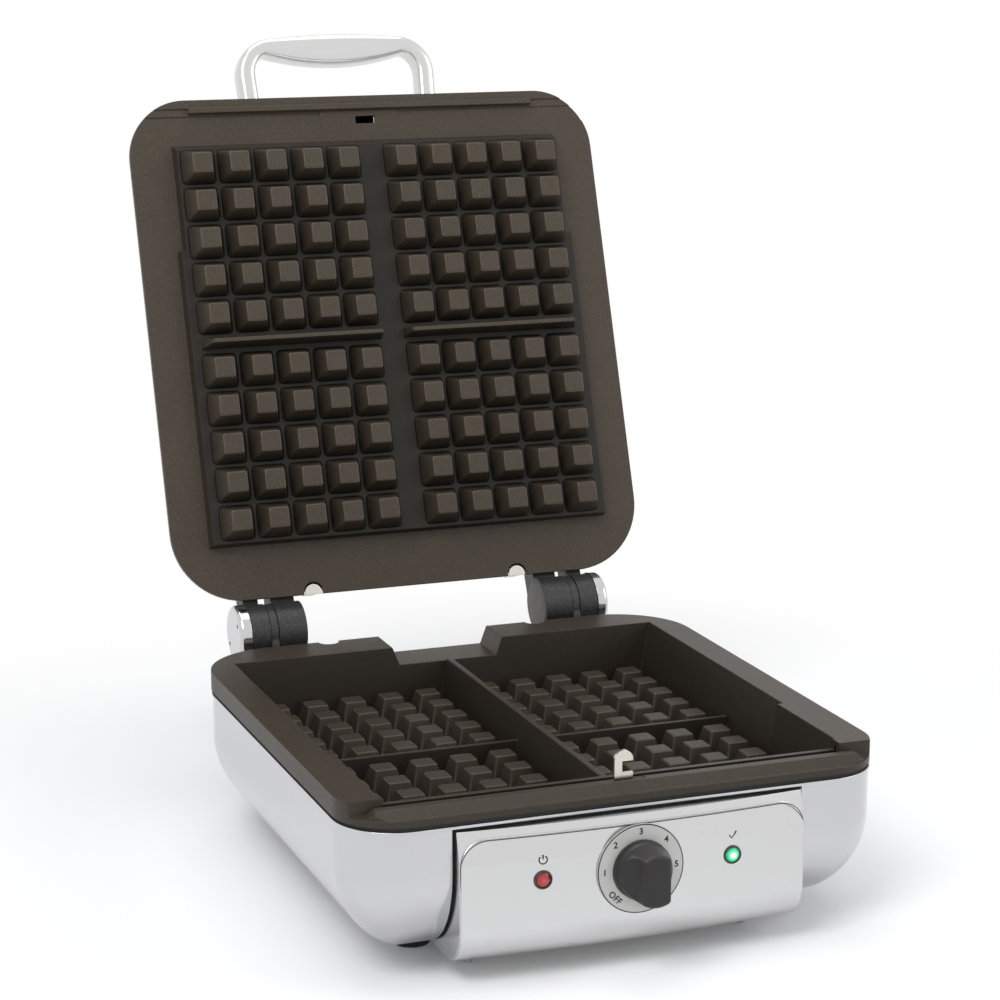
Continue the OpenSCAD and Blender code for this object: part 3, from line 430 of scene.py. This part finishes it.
def bridge(build, low, high):
    """Joins two rings of corners by faces."""
    count = len(low)
    following = [(i, (i + 1) % count) for i in range(count)]
    return [build.faces.new((low[i], low[j], high[j], high[i])) for i, j in following]


def loft(rings):
    """Closed form through rings with the same number of points."""
    build = bmesh.new()
    made = [ring_of(build, ring) for ring in rings]
    for low, high in zip(made, made[1:]):
        bridge(build, low, high)
    build.faces.new(made[0][::-1])
    build.faces.new(made[-1])
    return build


def lid_closing():
    """Matrix that takes the open lid's place to the closed one."""
    joint = next(j for j in frame["joints"] if j["name"] == "lid_hinge")
    axis = Vector(joint["pos_m"])
    turn = Matrix.Rotation(radians(joint["range_deg"][1]), 4, "X")
    return Matrix.Translation(axis) @ turn @ Matrix.Translation(-axis)


def block_tops(build, top):
    """Takes each block's top corners, as lists of four, in the same order on each run."""
    corners = [v for v in build.verts if abs(v.co.z - top) < 10 * WELD]
    left = set(corners)
    groups = []
    for first in corners:
        if first not in left:
            continue
        left.remove(first)
        group, fresh = [], [first]
        while fresh:
            corner = fresh.pop()
            group.append(corner)
            near = [v for v in (e.other_vert(corner) for e in corner.link_edges) if v in left]
            left.difference_update(near)
            fresh.extend(near)
        groups.append(group)
    return groups


def rounded_square(build, centre, half, radius, z):
    """Ring of corners of a rounded square."""
    steps = 4
    ring = []
    for cx, cy, start in ((1, 1, 0), (-1, 1, 90), (-1, -1, 180), (1, -1, 270)):
        for i in range(steps + 1):
            turn = radians(start + 90 * i / steps)
            x = centre.x + cx * (half - radius) + radius * cos(turn)
            y = centre.y + cy * (half - radius) + radius * sin(turn)
            ring.append(build.verts.new((x, y, z)))
    return ring


def block_rows(half_top):
    """Height, half width and corner radius of a block's rings, from below the floor to the top."""
    size = sizes()
    half_foot = size.block_foot / 2
    corner = size.block_corner
    upper_corner = 0.85 * corner
    crown = size.block_crown
    fillet = 0.0009
    sunk = 0.0001
    floor_gap = 0.00002
    flat_inset = 0.0004
    slope = (half_foot - half_top) / BLOCK_HEIGHT
    rows = [(-sunk, half_foot + fillet, corner + fillet)]
    for i in range(1, 4):
        turn = pi / 2 * i / 4
        out = fillet * (1 - sin(turn))
        high = fillet * (1 - cos(turn))
        rows.append((high + floor_gap, half_foot - slope * high + out, corner + out))
    rows.append((fillet, half_foot - slope * fillet, corner))
    low_crown = BLOCK_HEIGHT - crown
    wall = half_foot - slope * low_crown
    for i in range(5):
        turn = pi / 2 * i / 4
        rows.append((low_crown + crown * sin(turn), wall - crown * (1 - cos(turn)), upper_corner))
    rows.append((BLOCK_HEIGHT, wall - crown - flat_inset, 0.7 * corner))
    return rows


def add_block(build, raised, centre, half_top, floor, up):
    """One grid block with a filleted foot, sloping rounded corners and a soft crown, with painted shade
    towards its foot and a painted highlight along its top edge.
    """
    foot_level = 0.15
    highlight_from, highlight_to = 0.96, 0.995
    rings = [
        rounded_square(build, centre, half, radius, floor + up * z)
        for z, half, radius in block_rows(half_top)
    ]
    for low, high in zip(rings, rings[1:]):
        for side in bridge(build, low, high):
            for loop in side.loops:
                # Painted light level: painted shade that deepens towards the foot, and a painted highlight
                # on a thin band at the top edge
                level = max(0.0, up * (loop.vert.co.z - floor)) / BLOCK_HEIGHT
                painted_edge_highlight = 1.0 if highlight_from < level < highlight_to else GROUND
                loop[raised] = painted_edge_highlight * (foot_level + (1 - foot_level) * level)
    for loop in build.faces.new(rings[-1]).loops:
        loop[raised] = GROUND


def press_blocks(build, floor, up):
    """Presses the plain blocks down to the floor, and gives each one's centre and half width at its top."""
    blocks = []
    for group in block_tops(build, floor + up * BLOCK_HEIGHT):
        centre = sum((v.co for v in group), Vector()) / len(group)
        blocks.append((centre, max(v.co.x for v in group) - centre.x))
        for v in group:
            v.co.z = floor
    return blocks


def paint_cavity_shade(build, raised, blocks, floor, up):
    """Paints shade: marks the floor and the cavity's walls as low, darker the lower they lie, and all else
    as ground.
    """
    wall_room = 0.020
    wall_slope = 0.8
    wall_foot, wall_rise = 0.15, 0.45
    step = 0.002
    rim = max(up * (v.co.z - floor) for v in build.verts)
    middle = sum((centre for centre, _ in blocks), Vector()) / len(blocks)
    reach = [max(abs(centre[i] - middle[i]) for centre, _ in blocks) + wall_room for i in (0, 1)]
    build.normal_update()
    for face in build.faces:
        away = face.calc_center_median() - middle
        inside = abs(away.x) < reach[0] and abs(away.y) < reach[1]
        steep = abs(face.normal.z) < wall_slope
        for loop in face.loops:
            height = abs(loop.vert.co.z - floor)
            wall_level = wall_foot + wall_rise * height / rim
            # Painted shade: floors darkest, cavity walls darker the lower they lie
            level = wall_level if inside and steep else min(1.0, height / step)
            loop[raised] = GROUND * level


def casting(node, name, body, coating, floor, up, closing):
    """Baking plate: the CAD node with a shaped block for each of its plain ones."""
    build = bmesh.new()
    build.from_mesh(frame["nodes"][node].data)
    bmesh.ops.remove_doubles(build, verts=build.verts, dist=WELD)
    build.transform(closing)
    blocks = press_blocks(build, floor, up)
    if len(blocks) != BLOCK_COUNT:
        raise RuntimeError(f"{node} has {len(blocks)} blocks in place of {BLOCK_COUNT}")
    # Level of painted light on each corner: painted shade below GROUND, painted highlight above it
    raised = build.loops.layers.float.new("raised")
    paint_cavity_shade(build, raised, blocks, floor, up)
    for edge in build.edges:
        edge.smooth = len(edge.link_faces) == 2 and edge.calc_face_angle() < radians(PLATE_SHARP)
    for centre, half_top in blocks:
        add_block(build, raised, centre, half_top, floor, up)
    for face in build.faces:
        face.smooth = True
    build.transform(closing.inverted())
    bmesh.ops.recalc_face_normals(build, faces=build.faces)
    mesh = bpy.data.meshes.new(name)
    build.to_mesh(mesh)
    build.free()
    add_piece(name, mesh, body, coating, (node,))


def panel_face(x):
    """Place along Y of the control panel's bowed face."""
    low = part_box("control_panel")[0]
    radius = (FASCIA_HALF**2 + FASCIA_BOW**2) / (2 * FASCIA_BOW) + PANEL_SHEET
    return low.y + radius - sqrt(radius**2 - x**2)


# ---- operators ----


class WAFFLE_OT_castings(bpy.types.Operator):
    """Makes the two coated baking plates"""

    bl_idname = "waffle.castings"
    bl_label = "Baking plates"

    def execute(self, context):
        # Painted shade: the lower plate gets a copy of the same coating at 0.66 of its colour
        lower = non_stick(shaded(colours().coating, 0.66)[:3], "shaded_lower_coating")
        upper = non_stick(colours().coating, "upper_coating")
        casting("lower_plate", "lower_baking_plate", "base", lower, LOWER_FLOOR, 1, Matrix())
        casting("upper_plate", "upper_baking_plate", "lid", upper, UPPER_FLOOR, -1, lid_closing())
        return {"FINISHED"}


class WAFFLE_OT_bodywork(bpy.types.Operator):
    """Finishes the housing, the lid's cover and the front unit"""

    bl_idname = "waffle.bodywork"
    bl_label = "Bodywork"

    def execute(self, context):
        steel = polished_steel(colours().steel)
        panel = polished_steel(colours().panel, "panel_steel", 0.20)
        for node in ("base_housing", "lid_cover"):
            dress(node, steel)
        for node in ("front_fascia", "control_panel"):
            dress(node, panel)
        # Black of the rim's gasket, also used for the painted shade in the gaps and along the panel's edge
        black = moulded((0.012, 0.012, 0.013), "black_gasket_and_gap_shade", 0.6)
        dress("rim_gasket", black)
        dress("base_pan", moulded((0.03, 0.03, 0.032), "pan_black", 0.5))
        self.gap_shade_strips(black)
        self.panel_shadow_line(black)
        return {"FINISHED"}

    def gap_shade_strips(self, black):
        """Black strips in the gaps around the front unit: painted shade that stands in for the dark inside
        of the gaps.
        """
        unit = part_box("front_fascia")[1]
        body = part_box("base_housing")[0]
        edge_r = 0.046
        edge_turn = 78.0
        front = body.y + 0.0007
        inset = 0.0016
        depth = 0.004
        top_depth = 0.009
        side_in, side_out = unit.x + 0.0001, unit.x + 0.0013
        overlap = 0.0012
        top = unit.z + 0.0011
        for side, name in ((-1, "seam_left"), (1, "seam_right")):
            rings = []
            for x in (side_in, side_out):
                outer = [(front + inset, top), (front + inset, body.z + edge_r)]
                inner = [(front + inset + depth, top), (front + inset + depth, body.z + edge_r)]
                for i in range(1, 13):
                    turn = radians(edge_turn * i / 12)
                    for r, row in ((edge_r - inset, outer), (edge_r - inset - depth, inner)):
                        row.append((front + edge_r - r * cos(turn), body.z + edge_r - r * sin(turn)))
                rings.append([(side * x, y, z) for y, z in outer + inner[::-1]])
            add_piece(name, mesh_from(name, loft(rings)), "base", black)
        outer, inner = front + inset, front + top_depth
        section = [(outer, unit.z), (inner, unit.z), (inner, top), (outer, top)]
        rings = [[(x, y, z) for y, z in section] for x in (-unit.x - overlap, unit.x + overlap)]
        add_piece("seam_top", mesh_from("seam_top", loft(rings)), "base", black)

    def panel_shadow_line(self, black):
        """Thin dark line along the panel's top edge and around its upper corners: painted shadow of the
        panel's edge.
        """
        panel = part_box("control_panel")[1]
        corner = 0.013
        tail = 0.010
        proud = 0.0005
        half, top = panel.x, panel.z
        middle = half - corner
        points = [(-half, top - corner - tail), (-half, top - corner - tail / 2)]
        for side, start in ((-1, 180), (1, 90)):
            for i in range(13):
                turn = radians(start - 7.5 * i)
                points.append((side * middle + corner * cos(turn), top - corner + corner * sin(turn)))
            if side < 0:
                points.extend((-middle + middle * i / 6, top) for i in range(1, 12))
        points.extend([(half, top - corner - tail / 2), (half, top - corner - tail)])
        curve = bpy.data.curves.new("panel_shadow_line", "CURVE")
        curve.dimensions = "3D"
        curve.bevel_depth = sizes().outline
        curve.bevel_resolution = 2
        line = curve.splines.new("POLY")
        line.points.add(len(points) - 1)
        for number, (point, (x, z)) in enumerate(zip(line.points, points)):
            point.co = (x, panel_face(x) + proud, z, 1.0)
            point.radius = 0.1 if number in (0, len(points) - 1) else 1.0
        add_piece("panel_shadow_line", curve, "base", black)


class WAFFLE_OT_controls(bpy.types.Operator):
    """Makes the dial, the knob and the signal lamps"""

    bl_idname = "waffle.controls"
    bl_label = "Controls"

    def execute(self, context):
        dress("dial_plate", dial_print(colours().dial))
        self.knob()
        zinc = bare_metal((0.60, 0.60, 0.62), "zinc_steel")
        dress("thermostat_shaft", zinc)
        dress("front_studs", zinc)
        dress("thermostat", ceramic((0.70, 0.66, 0.55)))
        dress("lamp_holders", moulded((0.65, 0.65, 0.62), "white_plastic", 0.35))
        dress("lamp_bezels", bare_metal((0.10, 0.10, 0.10), "bezel_metal", 0.25))
        red = [
            (0.0, (0.80, 0.16, 0.14)),
            (0.30, (0.45, 0.02, 0.02)),
            (0.62, (0.30, 0.01, 0.01)),
            (0.90, (0.05, 0.0, 0.0)),
        ]
        green = [
            (0.0, (0.85, 1.0, 0.90)),
            (0.28, (0.75, 1.0, 0.85)),
            (0.50, (0.05, 0.62, 0.25)),
            (0.72, (0.01, 0.36, 0.14)),
            (0.92, (0.0, 0.06, 0.03)),
        ]
        dress("power_lens", lens("power_lens", "red_lens", red, (0.6, 0.05, 0.05), 0.35))
        dress("ready_lens", lens("ready_lens", "green_lens", green, (0.1, 0.8, 0.4), sizes().glow))
        self.marks()
        return {"FINISHED"}

    def knob(self):
        """Knob with a round skirt and a grip between two scooped sides."""
        low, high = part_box("knob")
        centre = (low + high) / 2
        radius = (high.x - low.x) / 2
        length = high.y - low.y
        ease = sizes().knob_ease
        grip = sizes().knob_grip / 2
        uncut = 4 * radius
        scoop = 0.013
        skirt = 0.005
        shoulder = 0.0036
        shoulder_in = 0.0006
        taper = 0.0012
        foot_height, foot_in = 0.0002, 0.0003
        ring_gap = 0.0007
        depths = [0.0, foot_height, 0.002, shoulder, 0.0044, 0.0048, skirt]
        depths += [skirt + ring_gap * i for i in range(1, 19)]
        depths += [length - ease + ease * sin(pi / 2 * i / 6) for i in range(7)]
        rings = []
        for depth in depths:
            wide = radius - taper * depth / length
            if depth < foot_height:
                wide -= foot_in
            if depth > shoulder:
                wide -= shoulder_in * min(1.0, (depth - shoulder) / (skirt - shoulder))
            narrow = uncut
            if depth > skirt:
                rise = min(depth - skirt, scoop)
                narrow = grip + scoop - sqrt(scoop**2 - (scoop - rise) ** 2)
            sunk = max(0.0, depth - (length - ease))
            inset = ease - sqrt(max(0.0, ease**2 - sunk**2))
            rings.append(self.clipped_round(centre, high.y - depth, wide - inset, narrow - inset))
        knob = moulded(colours().knob, "knob_plastic", 0.38, relief=0.06)
        mesh = mesh_from("dial_knob", loft(rings), 60.0)
        add_piece("dial_knob", mesh, "knob", knob, ("knob",))

    def clipped_round(self, centre, y, radius, half_width):
        """Circle whose left and right sides are cut off softly."""
        steps = 96
        hardness = 16
        ring = []
        for i in range(steps):
            turn = 2 * pi * (i + 0.5) / steps
            x, z = radius * cos(turn), radius * sin(turn)
            x = x / (1 + (abs(x) / half_width) ** hardness) ** (1 / hardness)
            ring.append((centre.x + x, y, centre.z + z))
        return ring

    def marks(self):
        """Numbers on the dial, and a plain sign over each lamp."""
        ink = moulded((0.008, 0.008, 0.009), "printing_ink", 0.5, relief=0.03)
        low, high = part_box("dial_plate")
        centre = (low + high) / 2
        radius = (high.x - low.x) / 2
        self.rim(centre, radius, low.y, ink)
        out = 0.0183
        for text, turn in (("1", -90), ("2", -45), ("3", 0), ("4", 45), ("5", 90), ("OFF", -135)):
            angle = radians(turn)
            place = Vector((centre.x + out * sin(angle), low.y, centre.z + out * cos(angle)))
            tilt = radians(45) if text == "OFF" else 0.0
            self.word(f"mark_{text}", text, place, tilt, ink)
        half = sizes().sign_height / 2
        gap = 38
        arc = [(half * sin(radians(a)), half * cos(radians(a))) for a in range(gap, 361 - gap, 12)]
        stem = [(0.0, 0.15 * half), (0.0, 1.15 * half)]
        tick = [(-0.9 * half, 0.05 * half), (-0.25 * half, -0.75 * half), (1.0 * half, 0.85 * half)]
        self.sign("sign_heating", "power_lens", (arc, stem), ink)
        self.sign("sign_hot", "ready_lens", (tick,), ink)

    def sign(self, name, node, strokes, ink):
        """Sign of thin strokes on the panel's bowed face, over a lamp."""
        low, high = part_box(node)
        middle = (low + high) / 2
        over_lamp = 0.0098
        proud = 0.00010
        curve = bpy.data.curves.new(name, "CURVE")
        curve.dimensions = "3D"
        curve.bevel_depth = 0.00036
        curve.bevel_resolution = 1
        curve.use_fill_caps = True
        for stroke in strokes:
            line = curve.splines.new("POLY")
            line.points.add(len(stroke) - 1)
            for point, (x, z) in zip(line.points, stroke):
                across = middle.x + x
                point.co = (across, panel_face(across) + proud, middle.z + over_lamp + z, 1.0)
        add_piece(name, curve, "base", ink)

    def rim(self, centre, radius, front, ink):
        """Thin dark line around the dial."""
        outer, inner = radius - 0.0001, radius - 0.0006
        proud = front - 0.00005
        build = bmesh.new()
        rings = [
            ring_of(build, [(centre.x + r * cos(t), y, centre.z + r * sin(t)) for t in turns(96)])
            for r, y in ((outer, front), (outer, proud), (inner, proud), (inner, front))
        ]
        for low, high in zip(rings, rings[1:] + rings[:1]):
            bridge(build, low, high)
        add_piece("dial_rim", mesh_from("dial_rim", build), "base", ink)

    def word(self, name, text, place, tilt, ink):
        """Printed number or word that faces the front."""
        height = sizes().digit_height
        capital_share = 0.70
        curve = bpy.data.curves.new(name, "FONT")
        curve.body = text
        curve.align_x = "CENTER"
        curve.align_y = "CENTER"
        curve.size = height / capital_share
        curve.space_character = 1.08
        curve.offset = height * 0.040
        curve.extrude = sizes().ink_height
        upright = Matrix.Rotation(tilt, 4, "Y") @ Matrix.Rotation(pi / 2, 4, "X")
        add_piece(name, curve, "base", ink, place=Matrix.Translation(place) @ upright)


class WAFFLE_OT_hinges(bpy.types.Operator):
    """Finishes the hinges, and adds the covers over the pins and, as painted shade, black discs for the
    caps' key holes
    """

    bl_idname = "waffle.hinges"
    bl_label = "Hinges"

    def execute(self, context):
        black = moulded((0.017, 0.017, 0.018), "hinge_black", 0.42, 1300.0, 0.35)
        grey = moulded((0.105, 0.10, 0.092), "hinge_disc", 0.55, 1300.0, 0.10)
        chrome = polished_steel(colours().steel, "hinge_chrome", 0.10)
        pins = bare_metal((0.55, 0.55, 0.56), "pin_steel")
        for side in ("left", "right"):
            dress(f"hinge_arm_{side}", black)
            dress(f"hinge_bracket_{side}", black)
            dress(f"hinge_cap_{side}", chrome)
            dress(f"hinge_pin_{side}", pins)
            self.cap_hole_shade(side, black)
            self.inner_disc(side, grey)
        return {"FINISHED"}

    def inner_disc(self, side, grey):
        """Thin cover over the pin on the knuckle's inner face."""
        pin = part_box(f"hinge_pin_{side}")
        centre = (pin[0] + pin[1]) / 2
        low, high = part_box(f"hinge_arm_{side}")
        face, out = (high.x, 1) if side == "left" else (low.x, -1)
        profile = ((-0.0004, 0.0146), (0.0002, 0.0146), (0.0005, 0.0142), (0.0005, 0.0050))
        rings = [
            [(face + out * depth, centre.y + r * cos(t), centre.z + r * sin(t)) for t in turns(48)]
            for depth, r in profile
        ]
        name = f"knuckle_disc_{side}"
        add_piece(name, mesh_from(name, loft(rings), 50.0), "lid", grey)

    def cap_hole_shade(self, side, black):
        """Two small black discs in a cap's face: painted shade where its key holes are."""
        low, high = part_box(f"hinge_cap_{side}")
        centre = (low + high) / 2
        face, out = (low.x, -1) if side == "left" else (high.x, 1)
        from_axis = 0.0108
        hole = 0.0011
        sunk, proud = 0.0003, 0.00006
        build = bmesh.new()
        for turn in (-40, 140):
            y = centre.y + from_axis * cos(radians(turn))
            z = centre.z + from_axis * sin(radians(turn))
            circle = [(y + hole * cos(t), z + hole * sin(t)) for t in turns(16)]
            back = ring_of(build, [(face - out * sunk, *point) for point in circle])
            front = ring_of(build, [(face + out * proud, *point) for point in circle])
            bridge(build, back, front)
            build.faces.new(back)
            build.faces.new(front)
        name = f"cap_key_holes_{side}"
        add_piece(name, mesh_from(name, build), "lid", black)


class WAFFLE_OT_handle(bpy.types.Operator):
    """Makes the lid's bow handle"""

    bl_idname = "waffle.handle"
    bl_label = "Handle"

    def execute(self, context):
        dress("handle_screws", bare_metal((0.55, 0.55, 0.56), "screw_steel"))
        closing = lid_closing()
        places = [closing @ v.co for v in frame["nodes"]["handle"].data.vertices]
        low = Vector(min(p[i] for p in places) for i in range(3))
        high = Vector(max(p[i] for p in places) for i in range(3))
        stations = self.half_bow(low, high)
        mirrored = [((-a[0], a[1]), (-b[0], b[1]), z) for a, b, z in stations[-2::-1]]
        thick = (high.z - low.z) / 2
        build = loft([self.section(*station, thick) for station in stations + mirrored])
        build.transform(closing.inverted())
        chrome = polished_steel((0.66, 0.66, 0.655), "handle_steel", 0.16)
        mesh = mesh_from("bow_handle", build, 60.0)
        add_piece("bow_handle", mesh, "lid", chrome, ("handle",))
        return {"FINISHED"}

    def half_bow(self, low, high):
        """Outer point, inner point and height along half of the handle, from the lid outwards."""
        half, back = high.x, high.y
        middle = (low.z + high.z) / 2
        arm = 0.0108
        corner = low.y + 0.0235
        flare = 0.0030
        sink = 0.0058
        outer_x, outer_y = 0.0229, 0.0224
        inner_x, inner_y = 0.0080, 0.0117
        bow = 0.0021
        belly = 0.0062
        sunk_share = 0.45
        stations = []
        for i in range(9):
            t = i / 8
            y = back + (corner - back) * t
            out = half - flare * (1 - t)
            sunk = sink * (1 - min(1.0, t / sunk_share)) ** 2
            stations.append(((out, y), (out - arm, y), middle - sunk))
        for i in range(1, 15):
            turn = pi / 2 * i / 14
            outer = (half - outer_x * (1 - cos(turn)), corner - outer_y * sin(turn))
            inner = (half - arm - inner_x * (1 - cos(turn)), corner - inner_y * sin(turn))
            stations.append((outer, inner, middle))
        for i in range(1, 13):
            left = 1 - i / 12
            rise = 1 - left**2
            outside = (outer[0] * left, outer[1] - bow * rise)
            inside = (inner[0] * left, inner[1] + belly * rise)
            stations.append((outside, inside, middle))
        return stations

    def section(self, outer, inner, middle, thick):
        """Ring around the handle: a soft rectangle between its outer and inner point."""
        softness = 0.55
        outer, inner = Vector(outer), Vector(inner)
        centre, reach = (outer + inner) / 2, (outer - inner) / 2
        ring = []
        for turn in turns(36):
            across = copysign(abs(cos(turn)) ** softness, cos(turn))
            rise = copysign(abs(sin(turn)) ** softness, sin(turn))
            point = centre + reach * across
            ring.append((point.x, point.y, middle + thick * rise))
        return ring


class WAFFLE_OT_latch(bpy.types.Operator):
    """Finishes the latch hook, the catch and the plates' clips"""

    bl_idname = "waffle.latch"
    bl_label = "Latch"

    def execute(self, context):
        steel = bare_metal((0.72, 0.69, 0.62), "spring_steel", 0.22)
        for node in ("latch_hook", "lid_catch", "lower_clips", "upper_clips"):
            dress(node, steel)
        return {"FINISHED"}


class WAFFLE_OT_insides(bpy.types.Operator):
    """Finishes the feet, the fasteners and what is inside"""

    bl_idname = "waffle.insides"
    bl_label = "Feet and insides"

    def execute(self, context):
        dress("rubber_feet", moulded((0.015, 0.015, 0.016), "rubber", 0.65, 900.0, 0.2))
        dress("base_screws", bare_metal((0.55, 0.55, 0.56), "foot_screws"))
        heater = bare_metal((0.20, 0.17, 0.15), "heater_sheath", 0.45)
        sheet = bare_metal((0.62, 0.62, 0.63), "reflector_sheet", 0.28)
        for node in ("lower_heater", "upper_heater"):
            dress(node, heater)
        for node in ("lower_reflector", "upper_reflector"):
            dress(node, sheet)
        dress("terminal_block", ceramic((0.72, 0.70, 0.64)))
        dress("cord_inlet", moulded((0.02, 0.02, 0.02), "inlet_plastic", 0.5))
        return {"FINISHED"}


class WAFFLE_OT_stage(bpy.types.Operator):
    """Makes the floor, the lamps, the background and the camera"""

    bl_idname = "waffle.stage"
    bl_label = "Stage"

    def execute(self, context):
        self.floor()
        self.background()
        self.lamps()
        self.camera()
        bpy.context.scene.view_settings.view_transform = "Standard"
        return {"FINISHED"}

    def floor(self):
        """Pale floor that keeps the shadow near the object and turns white away from it."""
        reach = 6.0
        corners = [(x * reach, y * reach, 0) for x, y in ((-1, -1), (1, -1), (1, 1), (-1, 1))]
        build = bmesh.new()
        build.faces.new(ring_of(build, corners))
        mesh = bpy.data.meshes.new("floor")
        build.to_mesh(mesh)
        build.free()
        floor = bpy.data.objects.new("floor", mesh)
        bpy.context.scene.collection.objects.link(floor)
        material, f = finish("floor_paper")
        distance = f.node("ShaderNodeVectorMath", {"operation": "LENGTH"}, {0: f.place()}, output="Value")
        near = f.ramp(distance, [(0.26, 1.0), (0.52, 0.0)])
        paper = f.node("ShaderNodeBsdfDiffuse", sockets={"Color": (0.95, 0.95, 0.955, 1.0)})
        lift = f.node("ShaderNodeEmission", sockets={"Color": (1.0, 1.0, 1.0, 1.0), "Strength": 0.06})
        lit = f.node("ShaderNodeAddShader", sockets={0: paper, 1: lift})
        white = f.node("ShaderNodeEmission", sockets={"Color": (1.0, 1.0, 1.0, 1.0), "Strength": 1.0})
        seen = f.node("ShaderNodeMixShader", sockets={0: 1.0 - near, 1: lit, 2: white})
        both = f.node("ShaderNodeMixShader", sockets={0: self.seen_rays(f), 1: paper, 2: seen})
        f.node("ShaderNodeOutputMaterial", sockets={"Surface": both})
        mesh.materials.append(material)

    def seen_rays(self, f):
        """1 for what the camera sees, directly or in metal and glass."""
        rays = ("Is Camera Ray", "Is Glossy Ray", "Is Transmission Ray")
        camera, glossy, transmission = (f.node("ShaderNodeLightPath", output=ray) for ray in rays)
        first = f.node("ShaderNodeMath", {"operation": "MAXIMUM"}, {0: camera, 1: glossy})
        return f.node("ShaderNodeMath", {"operation": "MAXIMUM"}, {0: first, 1: transmission})

    def background(self):
        """Soft light all around, white where it is seen."""
        world = bpy.data.worlds.new("studio")
        bpy.context.scene.world = world
        world.use_nodes = True
        f = Finish(world.node_tree)
        soft = f.node("ShaderNodeBackground", sockets={"Color": (0.97, 0.98, 1.0, 1.0), "Strength": 0.42})
        white = f.node("ShaderNodeBackground", sockets={"Color": (1.0, 1.0, 1.0, 1.0), "Strength": 1.0})
        both = f.node("ShaderNodeMixShader", sockets={0: self.seen_rays(f), 1: soft, 2: white})
        f.node("ShaderNodeOutputWorld", sockets={"Surface": both})

    def lamp(self, name, place, target, size, power):
        """Rectangular lamp that shines at a target."""
        light = bpy.data.lights.new(name, "AREA")
        light.shape = "RECTANGLE"
        light.size, light.size_y = size
        light.energy = power
        lamp = bpy.data.objects.new(name, light)
        lamp.location = place
        lamp.rotation_euler = (Vector(target) - Vector(place)).to_track_quat("-Z", "Y").to_euler()
        bpy.context.scene.collection.objects.link(lamp)

    def lamps(self):
        """Key lamp on the left, weaker one on the right, and a wide one above."""
        self.lamp("key_lamp", (-1.2, -1.1, 1.9), (0, 0, 0.15), (1.1, 1.1), 25.0)
        self.lamp("fill_lamp", (1.6, -1.0, 1.1), (0, 0, 0.15), (1.0, 1.2), 9.0)
        self.lamp("top_lamp", (0.0, 0.3, 2.2), (0, 0, 0.1), (1.6, 1.6), 14.0)

    def camera(self):
        """Camera fitted to the photo."""
        data = bpy.data.cameras.new("camera")
        data.sensor_width = 36.0
        data.lens = 99.208
        data.clip_start = 0.05
        camera = bpy.data.objects.new("camera", data)
        bpy.context.scene.collection.objects.link(camera)
        camera.location = (-0.4943, -1.3509, 0.5034)
        towards = Vector((0.3448, 0.9128, -0.2189))
        camera.rotation_euler = towards.to_track_quat("-Z", "Y").to_euler()
        bpy.context.scene.camera = camera


OPERATORS = (
    WAFFLE_OT_castings,
    WAFFLE_OT_bodywork,
    WAFFLE_OT_controls,
    WAFFLE_OT_hinges,
    WAFFLE_OT_handle,
    WAFFLE_OT_latch,
    WAFFLE_OT_insides,
    WAFFLE_OT_stage,
)


class WAFFLE_PT_panel(bpy.types.Panel):
    """Lists the steps that dress the waffle maker"""

    bl_idname = "WAFFLE_PT_panel"
    bl_label = "Waffle maker"
    bl_space_type = "VIEW_3D"
    bl_region_type = "UI"
    bl_category = "Waffle maker"

    def draw(self, context):
        layout = self.layout
        for group in (context.scene.waffle_maker_sizes, context.scene.waffle_maker_colours):
            for key in group.__annotations__:
                layout.prop(group, key)
        for operator in OPERATORS:
            layout.operator(operator.bl_idname)


CLASSES = (WaffleMakerSizes, WaffleMakerColours, *OPERATORS, WAFFLE_PT_panel)


def register():
    for made in CLASSES:
        bpy.utils.register_class(made)
    bpy.types.Scene.waffle_maker_sizes = bpy.props.PointerProperty(type=WaffleMakerSizes)
    bpy.types.Scene.waffle_maker_colours = bpy.props.PointerProperty(type=WaffleMakerColours)


def unregister():
    del bpy.types.Scene.waffle_maker_colours
    del bpy.types.Scene.waffle_maker_sizes
    for made in reversed(CLASSES):
        bpy.utils.unregister_class(made)


def main():
    """Runs every step."""
    register()
    for operator in OPERATORS:
        group, action = operator.bl_idname.split(".")
        getattr(getattr(bpy.ops, group), action)()


if __name__ == "__main__":
    main()
